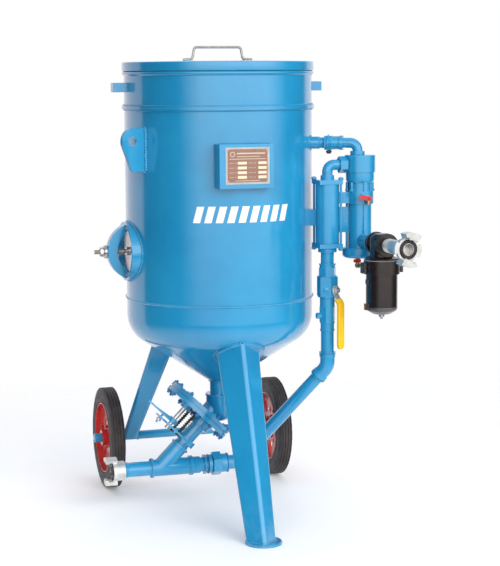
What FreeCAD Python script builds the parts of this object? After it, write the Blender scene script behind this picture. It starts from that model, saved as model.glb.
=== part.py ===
"""A portable pressure blast pot, in millimetres, +Z up, front towards -Y.

A 24 inch vessel stands on one front leg and on two rear legs that share an axle with two wheels.
Air comes in through a filter and an inlet valve on its right; abrasive leaves through a metering valve
and a wye below it.  The sub-parts are drawn about the vessel's own axis, then each is placed so that
the origin is under the middle of the whole machine.
"""
import FreeCAD, Part
import math
import os

import Sketcher
from FreeCAD import Placement, Rotation, Vector

os.makedirs("parts", exist_ok=True)
doc = FreeCAD.newDocument("blast_pot")

SIZES = {
    # where the vessel's axis stands
    "axis_x": -36.0, "axis_y": 13.5,
    # vessel
    "shell_radius": 305.0, "shell_wall": 6.0, "seam_height": 711.0, "shell_top": 1325.0,
    "knuckle_radius": 100.0, "cone_angle": 33.0, "knuckle_height": 656.0, "outlet_radius": 35.0,
    "outlet_bore": 20.0, "outlet_bottom": 384.0, "pad_radius": 80.0, "pad_place": 225.0, "pad_thick": 6.0,
    "hopper_drop": 85.0, "port_radius": 46.0, "hub_radius": 60.0, "hub_height": 20.0,
    "hopper_skirt": 30.0, "seal_height": 8.0, "ring_radius": 313.0, "ring_height": 12.0,
    "collar_wall": 3.0, "bead_height": 1439.0, "bead_radius": 7.5,
    # lid
    "lid_radius": 311.0, "lid_wall": 2.5, "lid_bottom": 1446.9, "lid_depth": 27.0, "lid_crown": 6.0,
    "spigot_radius": 295.0, "spigot_depth": 18.0, "handle_wire": 4.0, "handle_rise": 42.0,
    "handle_half": 78.0, "handle_foot": 117.0, "handle_bend": 10.0, "gap": 0.3,
    # pop-up valve and the pipe under it
    "plug_travel": 22.0, "plug_radius": 54.0, "plug_cone": 40.0, "plug_rise": 34.0, "plug_flange": 9.0,
    "sleeve_radius": 24.0, "sleeve_bore": 18.5, "sleeve_length": 56.0, "air_pipe": 16.7, "air_bore": 13.0,
    "air_low": 1060.0, "air_turn": 190.0, "air_foot": 75.0, "air_top": 1178.0, "air_bend": 38.0,
    # lugs and grab handles
    "lug_thick": 12.0, "lug_low": 1133.0, "lug_high": 1270.0, "lug_nose": 41.0, "lug_reach": 355.0,
    "lug_hole": 15.0, "lug_turn": -155.5, "grab_low": 1380.0, "grab_height": 30.0, "grab_reach": 351.0,
    "grab_length": 38.0, "grab_bar": 8.0,
    # legs and foot
    "leg_top": 107.0, "leg_bottom": 74.0, "leg_wall": 4.0, "leg_round": 13.0, "leg_root": 232.0,
    "leg_turn": -90.0, "leg_aside": 9.0,
    "leg_foot": 468.0, "leg_join": 600.0, "foot_radius": 58.0, "foot_thick": 8.0, "rear_root_x": 118.0,
    "rear_root_y": 188.0, "rear_end_x": 225.0, "rear_end_y": 376.0, "rear_top": 84.0, "rear_bottom": 52.0,
    # wheels and axle
    "axle_radius": 12.5, "axle_tube": 15.0, "tube_half": 262.0, "wheel_radius": 175.0,
    "wheel_width": 50.0, "wheel_centre": 300.0, "axle_back": 376.0, "rim_radius": 122.0, "rim_wall": 4.0,
    "rim_width": 46.0, "web_thick": 8.0, "hub_outer": 27.0, "hub_half": 27.0, "hub_play": 0.05,
    "window_size": 50.0, "window_ring": 74.0, "spokes": 5.0, "cap_radius": 16.0, "cap_length": 26.0,
    "cap_gap": 0.5, "groove_depth": 3.0, "groove_width": 3.0, "tyre_round": 14.0,
    # handhole on the left
    "hand_height": 870.0, "hand_half": 110.0, "hand_rise": 95.0, "hand_wall": 13.0, "hand_face": 318.0,
    "hand_root": 268.0, "lip_thick": 8.0, "lip_depth": 10.0, "cover_thick": 8.0, "gasket_thick": 3.0,
    "yoke_half": 87.0, "yoke_reach": 58.0, "yoke_inner": 58.0, "yoke_gap": 26.0, "yoke_width": 32.0,
    "stud_radius": 6.5, "stud_tip": 418.0, "washer_radius": 22.0, "washer_thick": 12.0,
    "nut_radius": 15.0, "nut_thick": 12.0,
    # data plate
    "board_low": 1086.0, "board_high": 1223.0, "board_half": 87.0, "board_shift": -9.0,
    "board_front": 345.0, "board_wall": 4.0, "plate_half": 70.5, "plate_low": 1100.0,
    "plate_high": 1213.0, "plate_thick": 1.5, "rivet_radius": 2.5, "rivet_inset": 8.0,
    # air line from the vessel to the inlet valve
    "valve_x": 406.0, "valve_y": -229.0, "line_x": 295.0, "nozzle_height": 1214.5, "boss_radius": 20.0,
    "boss_end": 335.0, "pipe_radius": 16.7, "union_start": 352.0, "union_end": 377.0,
    "union_radius": 26.0, "band_start": 400.0, "band_radius": 21.5, "elbow_radius": 16.5,
    "elbow_bend": 24.0, "elbow_shift": 8.0,
    # inlet valve
    "cap_low": 1089.0, "cap_step": 1122.0, "cap_high": 1177.0, "cap_wide": 49.5, "cap_mid": 46.0,
    "barrel_radius": 37.5, "barrel_low": 880.0, "barrel_bore": 31.0, "collar_low": 1021.0,
    "collar_high": 1061.0, "collar_radius": 44.0, "base_low": 846.0, "base_radius": 57.0,
    "base_round": 12.0, "piston_radius": 30.7, "piston_length": 60.0, "port_length": 95.0,
    "port_outer": 25.0,
    # link elbow between the line cylinder and the inlet valve's cap
    "link_height": 1146.0, "link_nut": 27.0, "link_nut_start": 333.0, "link_radius": 19.0,
    # line cylinder
    "plate_side": 78.0, "end_plate": 14.0, "line_low": 882.0, "line_high": 1100.0, "line_radius": 38.0,
    "line_bore": 33.0, "line_boss": 30.0, "boss_depth": 14.0, "rod_place": 33.5, "rod_radius": 4.0,
    "rod_nut": 7.0, "rod_over": 9.0, "web_low": 929.0, "web_width": 10.0, "web_back": 6.0,
    "tie_width": 26.0, "web_high": 1011.0, "valve_rod_x": -40.0, "valve_rod_y": 12.5, "strap_low": 952.0,
    "strap_high": 1005.0, "strap_width": 36.0,
    # small red-handled valves
    "mini_radius": 7.0, "mini_length": 30.0, "bleed_handle": 40.0, "bleed_half": 7.5, "mini_thick": 3.0,
    "bleed_height": 1040.0, "bleed_turn": -83.0, "bleed_reach": 66.0, "bleed_slope": 10.0,
    "spout_length": 20.0, "drain_shift": -18.0, "drain_front": 30.0, "drain_drop": 6.0, "drain_stub": 4.0,
    "drain_handle": 20.0, "drain_half": 5.5,
    # pusher line
    "pusher_radius": 21.2, "pusher_bore": 17.0, "choke_height": 747.0, "choke_low": 614.0,
    "choke_high": 770.0, "pusher_union": 790.0, "pusher_nut": 29.0, "nut_top": 830.0, "choke_body": 31.0,
    "choke_hex": 34.0, "neck_low": 692.0, "choke_nut": 643.0, "plug_side": 10.0, "plug_length": 20.0,
    "plug_out": 16.0, "plug_height": 662.0, "hex_low": 726.0, "hex_high": 788.0, "stem_turn": -60.0,
    "stem_radius": 8.0, "stem_play": 0.05, "stem_boss": 15.0, "stem_reach": 37.0, "lever_width": 28.0,
    "lever_metal": 20.0, "lever_thick": 5.0, "lever_length": 190.0, "lever_tail": 18.0,
    "grip_thick": 12.0, "lever_step": 21.0, "ball_radius": 22.0, "pusher_turn": 496.0, "pusher_end": 62.0,
    "pusher_bend": 46.0, "fitting_radius": 26.0,
    # blast line along X
    "blast_height": 146.0, "blast_radius": 24.15, "blast_bore": 19.0, "wye_left": -242.0,
    "wye_right": -104.0, "wye_centre": -210.0, "wye_radius": 28.5, "wye_bead": 32.5, "bead_width": 8.0,
    "branch_end": 100.0, "blast_start": -340.0, "claw_face": -372.0, "claw_root": -332.0,
    "nut_left": -33.0, "nut_right": -4.0, "blast_nut": 40.0, "shoulder_length": 26.0, "ferrule": 12.0,
    "union_right": 16.0, "reducer_end": 52.0,
    # claw couplings
    "claw_body": 32.0, "claw_head": 38.0, "cam_reach": 47.0, "cam_angle": 50.0, "claw_neck": 14.0,
    "claw_reach": 54.0, "claw_inner": 41.0, "claw_throw": 23.0, "claw_hook": 9.0, "claw_angle": 62.0,
    "outlet_head": 35.0, "outlet_cam": 41.0, "outlet_reach": 47.0, "outlet_inner": 36.0,
    "seal_outer": 31.0, "seal_bore": 20.0,
    "seal_proud": 3.0, "seal_deep": 8.0,
    # metering valve, along the branch
    "outlet_centre": 356.0, "outlet_body": 48.0, "elbow_drop": 34.0, "disc_radius": 124.0,
    "seam_depth": 5.0, "seam_half": 2.0, "disc_shift": -37.0, "disc_low": 211.0, "disc_mid": 226.0,
    "disc_high": 241.0, "hub_low": 185.0, "meter_hub": 35.0, "meter_bore": 19.0, "spindle_x": -77.0,
    "spindle_radius": 8.0, "spindle_boss": 18.0, "boss_low": 196.0, "cavity_radius": 106.0,
    "cavity_half": 4.5, "blade_half": 3.5, "blade_radius": 29.0, "blade_hub": 24.0, "bolt_circle": 115.0,
    "bolt_radius": 4.0, "bolt_head": 7.0, "bolt_over": 6.0, "bolts": 12.0, "bracket_low": 120.0,
    "bracket_thick": 6.0, "bracket_half": 44.0, "bracket_reach": -130.0, "lever_low": 134.0,
    "meter_thick": 6.0, "meter_tip": -184.0, "meter_half": 17.0, "slot_radius": 41.0, "slot_half": 4.5,
    "slot_sweep": 54.0, "wing_bolt": 3.5, "wing_low": 102.0, "wing_span": 20.0, "wing_hub": 7.0,
    "spring_x": -46.0, "spring_y": 34.0, "spring_radius": 7.0, "spring_wire": 1.3, "spring_turns": 9.0,
    # filter and inlet
    "inlet_height": 902.0, "inlet_turn": -84.0, "filter_reach": 152.0, "head_radius": 38.0,
    "head_low": 853.0, "head_high": 936.0, "filter_port": 31.0, "outer_port": 36.0, "clamp_radius": 57.0,
    "clamp_low": 810.0, "clamp_ear": 68.0, "ear_width": 22.0, "bowl_radius": 50.0, "bowl_wall": 5.0,
    "bowl_low": 694.0, "bowl_dome": 14.0, "element_radius": 30.0, "element_bore": 18.0,
    "element_low": 720.0, "drain_radius": 4.0, "drain_length": 14.0, "tap_radius": 9.0, "tap_height": 7.0,
    "nipple_radius": 21.5, "nipple_hex": 34.0, "nipple_end": 300.0, "inlet_face": 324.3,
    "port_end": 194.0,
}

sheet = doc.addObject("Spreadsheet::Sheet", "dims")
for row, (word, number) in enumerate(SIZES.items(), start=1):
    sheet.set(f"A{row}", word)
    sheet.set(f"B{row}", str(number))
    sheet.setAlias(f"B{row}", word)
doc.recompute()


class Size:
    """A length worked out from the sheet: its value, and the formula that gives it."""

    def __init__(self, value, formula=None):
        self.value = float(value)
        self.formula = formula or f"({self.value:.9g})"

    def __float__(self):
        return self.value

    def __neg__(self):
        return Size(-self.value, f"(-1 * {self.formula})")

    def __add__(self, other):
        other = as_size(other)
        return Size(self.value + other.value, f"({self.formula} + {other.formula})")

    def __sub__(self, other):
        other = as_size(other)
        return Size(self.value - other.value, f"({self.formula} - {other.formula})")

    def __mul__(self, other):
        other = as_size(other)
        return Size(self.value * other.value, f"({self.formula} * {other.formula})")

    def __truediv__(self, other):
        other = as_size(other)
        return Size(self.value / other.value, f"({self.formula} / {other.formula})")

    def __rsub__(self, other):
        return as_size(other) - self

    __radd__ = __add__
    __rmul__ = __mul__


class Dims:
    """The sheet's cells, read by their aliases."""

    def __getattr__(self, word):
        return Size(sheet.get(word), f"dims.{word}")


def as_size(thing):
    return thing if isinstance(thing, Size) else Size(thing)


D = Dims()
UP, EAST, NORTH = Vector(0, 0, 1), Vector(1, 0, 0), Vector(0, 1, 0)
WEST, DOWN, SOUTH = -EAST, -UP, -NORTH
NODES = []


def bind(thing, **sizes):
    """Ties each property to its formula."""
    for name, size in sizes.items():
        thing.setExpression(name, as_size(size).formula)
    return thing


def moved(thing, at, axis=UP, spin=0.0):
    """Puts a primitive at a place, with its own Z along an axis after a spin about it."""
    thing.Placement = Placement(Vector(), Rotation(UP, axis) * Rotation(UP, spin))
    for letter, size in zip("xyz", at):
        thing.setExpression(f"Placement.Base.{letter}", as_size(size).formula)
    return thing


def rod(radius, length, at=(0, 0, 0), axis=UP):
    return moved(bind(doc.addObject("Part::Cylinder", "Rod"), Radius=radius, Height=length), at, axis)


def sector(radius, length, angle, at=(0, 0, 0), axis=UP, spin=0.0):
    """A slice of a cylinder, from its own X axis round by an angle."""
    piece = bind(doc.addObject("Part::Cylinder", "Sector"), Radius=radius, Height=length, Angle=angle)
    return moved(piece, at, axis, spin)


def frustum(low, high, length, at=(0, 0, 0), axis=UP):
    piece = bind(doc.addObject("Part::Cone", "Frustum"), Radius1=low, Radius2=high, Height=length)
    return moved(piece, at, axis)


def ball(radius, at=(0, 0, 0)):
    return moved(bind(doc.addObject("Part::Sphere", "Ball"), Radius=radius), at)


def ring(radius, section, at=(0, 0, 0), axis=UP):
    return moved(bind(doc.addObject("Part::Torus", "Ring"), Radius1=radius, Radius2=section), at, axis)


def nut(radius, length, at=(0, 0, 0), axis=UP, spin=0.0):
    """A hexagonal prism measured over its corners."""
    piece = bind(doc.addObject("Part::Prism", "Hexagon"), Circumradius=radius, Height=length)
    piece.Polygon = 6
    return moved(piece, at, axis, spin)


def block(length, width, height, at=(0, 0, 0), spin=0.0):
    """A box standing on `at`, the middle of its underside."""
    piece = bind(doc.addObject("Part::Box", "Block"), Length=length, Width=width, Height=height)
    if spin == 0.0:
        x, y, z = at
        return moved(piece, (x - as_size(length) / 2, y - as_size(width) / 2, z))
    turned_piece = fuse(moved(piece, (-as_size(length) / 2, -as_size(width) / 2, 0)))
    return moved(turned_piece, at, UP, spin)


def fuse(*pieces):
    if len(pieces) == 1:
        whole = doc.addObject("Part::Compound", "Wrap")
        whole.Links = list(pieces)
        return whole
    whole = doc.addObject("Part::MultiFuse", "Fusion")
    whole.Shapes = list(pieces)
    return whole


def cut(base, *tools):
    piece = doc.addObject("Part::Cut", "Cut")
    piece.Base = base
    piece.Tool = tools[0] if len(tools) == 1 else fuse(*tools)
    return piece


def common(first, second):
    piece = doc.addObject("Part::Common", "Common")
    piece.Base = first
    piece.Tool = second
    return piece


def group(*pieces):
    """Separate solids that share a node."""
    whole = doc.addObject("Part::Compound", "Set")
    whole.Links = list(pieces)
    return whole


def tube(radius, bore, length, at=(0, 0, 0), axis=UP):
    return cut(rod(radius, length, at, axis), rod(bore, length, at, axis))


def around(count, make):
    """What `make` gives for each of a number of even turns."""
    return [make(360.0 * turn / count) for turn in range(count)]


def polar(radius, angle):
    """The place at a radius and an angle in degrees, as two sizes."""
    radius = as_size(radius)
    return radius * math.cos(math.radians(angle)), radius * math.sin(math.radians(angle))


def side_curve(start, end, radius):
    """A side of an outline, and whether it runs against its own direction.

    A side with a radius is an arc: its centre is on the left of the side where the radius is positive.
    """
    if radius is None:
        return Part.LineSegment(start, end), False
    chord = end - start
    across = Vector(-chord.y, chord.x, 0).normalize()
    reach = abs(float(radius))
    rise = math.sqrt(max(reach**2 - (chord.Length / 2) ** 2, 0.0))
    centre = (start + end) / 2 + across * math.copysign(rise, float(radius))
    first, last = (math.atan2(p.y - centre.y, p.x - centre.x) for p in (start, end))
    against = float(radius) < 0
    if against:
        first, last = last, first
    if last < first:
        last += 2 * math.pi
    return Part.ArcOfCircle(Part.Circle(centre, UP, reach), first, last), against


def outline(sketch, points):
    """Draws a closed outline; each corner is held by two dimensions and each arc by its radius."""
    corners = [Vector(float(point[0]), float(point[1]), 0) for point in points]
    count = len(corners)
    ends = []
    for index, point in enumerate(points):
        radius = point[2] if len(point) > 2 else None
        curve, against = side_curve(corners[index], corners[(index + 1) % count], radius)
        side = sketch.addGeometry(curve)
        ends.append((side, 2, 1) if against else (side, 1, 2))
    for index in range(count):
        side, _, finish = ends[index]
        following, start, _ = ends[(index + 1) % count]
        sketch.addConstraint(Sketcher.Constraint("Coincident", side, finish, following, start))
    for index, point in enumerate(points):
        side, start, _ = ends[index]
        hold(sketch, "DistanceX", side, start, as_size(point[0]), -2)
        hold(sketch, "DistanceY", side, start, as_size(point[1]), -1)
        if len(point) > 2:
            size = as_size(point[2])
            row = sketch.addConstraint(Sketcher.Constraint("Radius", side, abs(size.value)))
            sketch.setExpression(f"Constraints[{row}]", f"abs({size.formula})")


def hold(sketch, kind, side, end, size, axis):
    """Holds a corner at its distance from the sketch's origin, or on the axis where that is nothing."""
    if abs(size.value) < 1e-9:
        sketch.addConstraint(Sketcher.Constraint("PointOnObject", side, end, axis))
        return
    row = sketch.addConstraint(Sketcher.Constraint(kind, -1, 1, side, end, size.value))
    sketch.setExpression(f"Constraints[{row}]", size.formula)


def drawn_body(plane, points):
    """A body with one sketch on one of its own planes."""
    body = doc.addObject("PartDesign::Body", "Body")
    sketch = body.newObject("Sketcher::SketchObject", "Sketch")
    base = next(plane_object for plane_object in body.Origin.OriginFeatures if plane_object.Role == plane)
    sketch.AttachmentSupport = [(base, "")]
    sketch.MapMode = "FlatFace"
    doc.recompute()
    outline(sketch, points)
    return body, sketch


def turned(*points):
    """A body of revolution about Z, from (radius, height) corners."""
    body, sketch = drawn_body("XZ_Plane", points)
    feature = body.newObject("PartDesign::Revolution", "Revolution")
    feature.Profile = sketch
    feature.ReferenceAxis = (sketch, ["V_Axis"])
    feature.Angle = 360.0
    return body


def padded(points, thickness, plane="XY_Plane", middle=False):
    """A plate of a given outline, from its plane or to both sides of it."""
    body, sketch = drawn_body(plane, points)
    feature = body.newObject("PartDesign::Pad", "Pad")
    feature.Profile = sketch
    feature.Midplane = middle
    bind(feature, Length=thickness)
    return body


def rounded(points, radius):
    """The corners of a path of straight runs, with each bend as a tangent arc: a wire."""
    places = [Vector(*point) for point in points]
    edges = []
    start = places[0]
    for before, corner, after in zip(places, places[1:], places[2:]):
        back = (before - corner).normalize()
        ahead = (after - corner).normalize()
        half_turn = math.pi / 2 - back.getAngle(ahead) / 2
        setback = float(radius) * math.tan(half_turn)
        middle = (back + ahead).normalize()
        depth = float(radius) / math.cos(half_turn) - float(radius)
        first, last = corner + back * setback, corner + ahead * setback
        edges.append(Part.LineSegment(start, first).toShape())
        edges.append(Part.Arc(first, corner + middle * depth, last).toShape())
        start = last
    edges.append(Part.LineSegment(start, places[-1]).toShape())
    return Part.Wire(edges)


def swept(points, radius, bend):
    """A round bar along a path of straight runs and tangent bends."""
    wire = rounded(points, bend)
    start = wire.Edges[0]
    heading = start.tangentAt(start.FirstParameter)
    section = Part.Wire(Part.makeCircle(float(radius), start.valueAt(start.FirstParameter), heading))
    return wire.makePipeShell([section], True, False)


def fixed(shape):
    """A document object for a shape that has no primitive."""
    thing = doc.addObject("Part::Feature", "Shape")
    thing.Shape = shape
    return thing


def node(name, thing, at=(0, 0, 0), turn=None):
    """Makes a finished sub-part: its name, its place about the vessel's axis and its turn."""
    if thing.TypeId in ("Part::Cylinder", "Part::Cone", "Part::Sphere", "Part::Torus", "Part::Box"):
        thing = group(thing)
    thing.Label = name
    thing.Placement = Placement(Vector(), turn or Rotation())
    x, y, z = (as_size(size) for size in at)
    for letter, size in (("x", D.axis_x + x), ("y", D.axis_y + y), ("z", z)):
        thing.setExpression(f"Placement.Base.{letter}", size.formula)
    NODES.append(thing)
    return thing


# ---------------------------------------------------------------- vessel

CONE = math.radians(float(D.cone_angle))
CONE_SLOPE = math.tan(CONE)


def head_form(inset):
    """The bottom head's solid form, its skin moved inwards: a short skirt, a knuckle and a cone."""
    skin = D.shell_radius - inset
    bend = D.knuckle_radius - inset
    bend_x = D.shell_radius - D.knuckle_radius
    tangent_x = bend_x + bend * math.sin(CONE)
    tangent_z = D.knuckle_height - bend * math.cos(CONE)
    neck = D.outlet_radius - D.gap
    neck_z = tangent_z - (tangent_x - neck) * CONE_SLOPE
    return turned((0, neck_z), (neck, neck_z), (tangent_x, tangent_z, bend), (skin, D.knuckle_height),
                  (skin, D.seam_height), (0, D.seam_height))


def head_height(radius):
    """How high the outside of the bottom head's cone is at a radius."""
    tangent_x = D.shell_radius - D.knuckle_radius + D.knuckle_radius * math.sin(CONE)
    tangent_z = D.knuckle_height - D.knuckle_radius * math.cos(CONE)
    return tangent_z - (tangent_x - radius) * CONE_SLOPE


def radial(angle):
    return Vector(math.cos(math.radians(angle)), math.sin(math.radians(angle)), 0)


NOZZLE_ANGLE = math.degrees(math.atan2(float(D.valve_y), float(D.valve_x)))


def oval(half, rise, length, at):
    """An upright elliptic bar along -X."""
    def shape():
        ellipse = Part.Ellipse(Vector(), float(half), float(rise)).toShape()
        bar = Part.Face(Part.Wire(ellipse)).extrude(Vector(0, 0, float(length)))
        bar.Placement = Placement(Vector(*at), Rotation(NORTH, UP, WEST, "ZXY"))
        return bar
    return fixed(shape())


def pad_form(angle):
    """A round bar square to the cone, that a leg's pad is cut from."""
    outwards = radial(angle) * math.sin(CONE) - UP * math.cos(CONE)
    centre = radial(angle) * float(D.pad_place) + UP * float(head_height(D.pad_place))
    return rod(D.pad_radius, 80, tuple(centre - outwards * 40), outwards)


def vessel():
    height = D.shell_top - D.seam_height
    shell = tube(D.shell_radius, D.shell_radius - D.shell_wall, height, (0, 0, D.seam_height))
    seam = ring(D.shell_radius - 2, 5, (0, 0, D.seam_height + 3))
    bead = common(seam, tube(D.ring_radius, D.shell_radius, 20, (0, 0, D.seam_height - 5)))
    nozzle_bore = rod(D.boss_radius, 120, (*polar(240, NOZZLE_ANGLE), D.nozzle_height),
                      radial(NOZZLE_ANGLE))
    hand_bore = oval(D.hand_half, D.hand_rise, 90, (-250, 0, D.hand_height))
    node("vessel_shell", cut(fuse(shell, bead), nozzle_bore, hand_bore))

    rear_angle = math.degrees(math.atan2(float(D.rear_root_y), float(D.rear_root_x)))
    pads = common(cut(head_form(-float(D.pad_thick)), head_form(0)),
                  fuse(*[pad_form(angle) for angle in (-90.0, rear_angle, 180.0 - rear_angle)]))
    outlet = rod(D.outlet_radius, 62, (0, 0, D.outlet_bottom))
    bore = rod(D.outlet_bore, 90, (0, 0, D.outlet_bottom))
    dish = cut(head_form(0), head_form(D.shell_wall))
    node("bottom_head", cut(fuse(dish, outlet, pads), bore))

    inner = D.shell_radius - D.shell_wall
    hub_top = D.shell_top - D.hopper_drop
    cone = turned((D.hub_radius, hub_top - 8), (inner - 6, D.shell_top - 8),
                  (inner - 6, D.shell_top - D.hopper_skirt), (inner, D.shell_top - D.hopper_skirt),
                  (inner, D.shell_top), (D.hub_radius, hub_top))
    hub = tube(D.hub_radius + 4, D.port_radius, D.hub_height, (0, 0, hub_top - D.hub_height))
    node("top_head", fuse(cone, hub))
    seal_low = hub_top - D.hub_height - D.seal_height
    seal = tube(D.hub_radius, D.port_radius - 2, D.seal_height, (0, 0, seal_low))
    node("fill_seal", seal)

    girth = tube(D.ring_radius, D.shell_radius - D.shell_wall, D.ring_height, (0, 0, D.shell_top))
    base = D.shell_top + D.ring_height
    wall = tube(D.shell_radius, D.shell_radius - D.collar_wall, D.bead_height - base, (0, 0, base))
    bead = ring(D.shell_radius - D.collar_wall / 2, D.bead_radius, (0, 0, D.bead_height))
    node("fill_collar", fuse(girth, wall, bead))


def lid():
    top = D.lid_bottom + D.lid_depth
    wall = D.lid_wall
    high = top + D.lid_crown
    knee = D.lid_radius * 0.6
    slope = high - D.lid_crown * 0.3
    pan = turned((0, high - wall), (knee, slope - wall), (D.lid_radius - wall, top - wall),
                 (D.lid_radius - wall, D.lid_bottom), (D.lid_radius, D.lid_bottom), (D.lid_radius, top),
                 (knee, slope), (0, high))
    spigot_low = D.lid_bottom - D.spigot_depth
    spigot = tube(D.spigot_radius, D.spigot_radius - wall, top - spigot_low, (0, 0, spigot_low))
    node("lid", fuse(pan, spigot))

    foot = top + D.lid_crown * 0.87 + D.handle_wire
    rise = top + D.lid_crown + D.handle_rise
    half = D.handle_half
    path = [(-D.handle_foot, 0, foot), (-half - 7, 0, foot), (-half, 0, rise), (half, 0, rise),
            (half + 7, 0, foot), (D.handle_foot, 0, foot)]
    node("lid_handle", fixed(swept(path, D.handle_wire, D.handle_bend)))


def pop_up():
    """The plug that seals the filling port when air lifts it; it slides on the air pipe's upright end."""
    closed = D.shell_top - D.hopper_drop - D.hub_height - D.seal_height - D.gap
    rim = closed - D.plug_travel
    cone = frustum(D.plug_cone, 8, D.plug_rise, (0, 0, rim))
    flange = rod(D.plug_radius, D.plug_flange, (0, 0, rim - D.plug_flange))
    sleeve_low = rim - D.plug_flange - D.sleeve_length
    sleeve = rod(D.sleeve_radius, D.sleeve_length, (0, 0, sleeve_low))
    bore = rod(D.sleeve_bore, D.sleeve_length, (0, 0, sleeve_low))
    node("popup_plug", cut(fuse(cone, flange, sleeve), bore))


def lugs():
    """Two lifting lugs, each a radial plate with a round nose about its hole."""
    low, high, nose, reach = D.lug_low, D.lug_high, D.lug_nose, D.lug_reach
    eye_height = high - nose
    root = D.shell_radius - 6
    cheek = (reach + nose * 0.94, eye_height - nose * 0.34)
    shell = rod(D.shell_radius, 300, (0, 0, low - 50))
    solids = []
    for turn in (float(D.lug_turn), float(D.lug_turn) + 180.0):
        plate = padded([(root, low), (reach + 3, low), (*cheek, nose), (reach, high), (root, high)],
                       D.lug_thick, "XZ_Plane", True)
        eye = rod(D.lug_hole, 40, (reach, 20, eye_height), SOUTH)
        solids.append(cut(moved(cut(plate, eye), (0, 0, 0), UP, turn), shell))
    node("lifting_lugs", group(*solids))


def grab_handles():
    """A short loop of flat bar on each side of the collar."""
    solids = []
    for way in (-1, 1):
        reach = D.grab_reach - D.shell_radius + 12
        loop = block(reach, D.grab_length, D.grab_height, ((D.grab_reach - reach / 2) * way, 0, D.grab_low))
        gap = block(D.grab_reach - D.grab_bar - 290, D.grab_length - D.grab_bar * 2, D.grab_height * 2,
                    ((D.grab_reach - D.grab_bar + 290) / 2 * way, 0, D.grab_low - 10))
        solids.append(cut(loop, gap, rod(D.shell_radius, 100, (0, 0, D.grab_low - 30))))
    node("grab_handles", group(*solids))


def square_post(top, top_side, foot, foot_side, turn, bend_size):
    """A tapered square bar with round corners between two level squares."""
    wires = []
    for place, side in ((top, top_side), (foot, foot_side)):
        middle = Vector(*(float(size) for size in place))
        bend = min(float(bend_size), float(side) / 3)
        edges = []
        for quarter in range(4):
            ahead, across = radial(turn + 90 * quarter + 45), radial(turn + 90 * quarter - 45)
            corner = middle + (ahead + across) * (float(side) / 2)
            first, last = corner - ahead * bend, corner - across * bend
            round_top = corner - (ahead + across) * (bend * (1 - math.sqrt(0.5)))
            edges.append(Part.Arc(first, round_top, last).toShape())
            following = middle + (ahead - across) * (float(side) / 2) + across * bend
            edges.append(Part.LineSegment(last, following).toShape())
        wires.append(Part.Wire(edges))
    return Part.makeLoft(wires, True)


def leg(top, top_side, foot, foot_side, turn):
    """A hollow tapered post, cut to the form of the head above it."""
    outer = square_post(top, top_side, foot, foot_side, turn, D.leg_round)
    inner = square_post(top, top_side - D.leg_wall * 2, foot, foot_side - D.leg_wall * 2, turn,
                        D.leg_round - D.leg_wall)
    return cut(fixed(outer.cut(inner)), head_form(-float(D.pad_thick)))


def legs():
    post = leg((-D.leg_aside, -D.leg_root + 12, D.leg_join), D.leg_top,
               (-D.leg_aside, -D.leg_foot, D.foot_thick), D.leg_bottom, float(D.leg_turn))
    disc = turned((0, 0), (D.foot_radius, 0), (D.foot_radius, D.foot_thick - 3),
                  (D.foot_radius - 3, D.foot_thick), (0, D.foot_thick))
    node("front_leg", fuse(post, moved(disc, (0, -D.leg_foot, 0))))
    bar = rod(D.axle_tube, 600, (-300, D.axle_back, D.wheel_radius), EAST)
    for name, way in (("rear_leg_left", -1), ("rear_leg_right", 1)):
        post = leg((D.rear_root_x * way, D.rear_root_y, D.leg_join), D.rear_top,
                   (D.rear_end_x * way, D.rear_end_y, D.wheel_radius - 3), D.rear_bottom,
                   90 - 30 * way)
        node(name, cut(post, bar))


# ---------------------------------------------------------------- wheels

def axle():
    """The bar that carries both wheels, with a cap on each end."""
    centre = (D.axle_back, D.wheel_radius)
    half = D.wheel_centre + D.hub_half + D.cap_gap + 6
    bar = rod(D.axle_radius, half * 2, (-half, *centre), EAST)
    caps = []
    for way, axis in ((-1, WEST), (1, EAST)):
        face = (D.wheel_centre + D.hub_half + D.cap_gap) * way
        caps += [rod(D.cap_radius, D.cap_length - 3, (face, *centre), axis),
                 frustum(D.cap_radius, D.cap_radius - 6, 3, (face + (D.cap_length - 3) * way, *centre), axis)]
    sleeve = rod(D.axle_tube, D.tube_half * 2, (-D.tube_half, *centre), EAST)
    node("axle", fuse(bar, sleeve, *caps))


def tyre_body():
    """A cushion tyre about Z: rounded shoulders and four grooves round the tread."""
    half, rim, outer, bend = D.wheel_width / 2, D.rim_radius, D.wheel_radius, D.tyre_round
    depth, wide = D.groove_depth, D.groove_width
    tread = []
    for place in (-15, -5, 5, 15):
        tread += [(outer, place - wide / 2), (outer - depth, place - wide / 2 + 0.5),
                  (outer - depth, place + wide / 2 - 0.5), (outer, place + wide / 2)]
    shoulder = half - 3
    return turned((rim, -half + 6), (rim + 6, -half, ), (outer - bend, -half, bend * 1.6),
                  (outer, -shoulder + 3), *tread, (outer, shoulder - 3, bend * 1.6), (outer - bend, half),
                  (rim + 6, half), (rim, half - 6))


def rim_body():
    """A pressed wheel about Z: a flanged barrel, a dished web with windows and a bored hub."""
    half = D.rim_width / 2
    outer = D.rim_radius - 0.3
    barrel = cut(rod(outer, D.rim_width, (0, 0, -half)), rod(outer - D.rim_wall, D.rim_width, (0, 0, -half)))
    web = rod(outer - 1, D.web_thick, (0, 0, -D.web_thick / 2))
    hub = rod(D.hub_outer, D.hub_half * 2, (0, 0, -D.hub_half))
    windows = around(int(D.spokes.value), lambda turn: moved(fuse(
        block(D.window_size, D.window_size * 0.62, 40, (D.window_ring + 9, 0, -20))), (0, 0, 0), UP, turn))
    dimples = around(int(D.spokes.value), lambda turn: rod(8, 40, (*polar(58, turn + 36), -20)))
    bore = rod(D.axle_radius + D.hub_play, 80, (0, 0, -40))
    return cut(fuse(barrel, web, hub), *windows, *dimples, bore)


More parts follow.
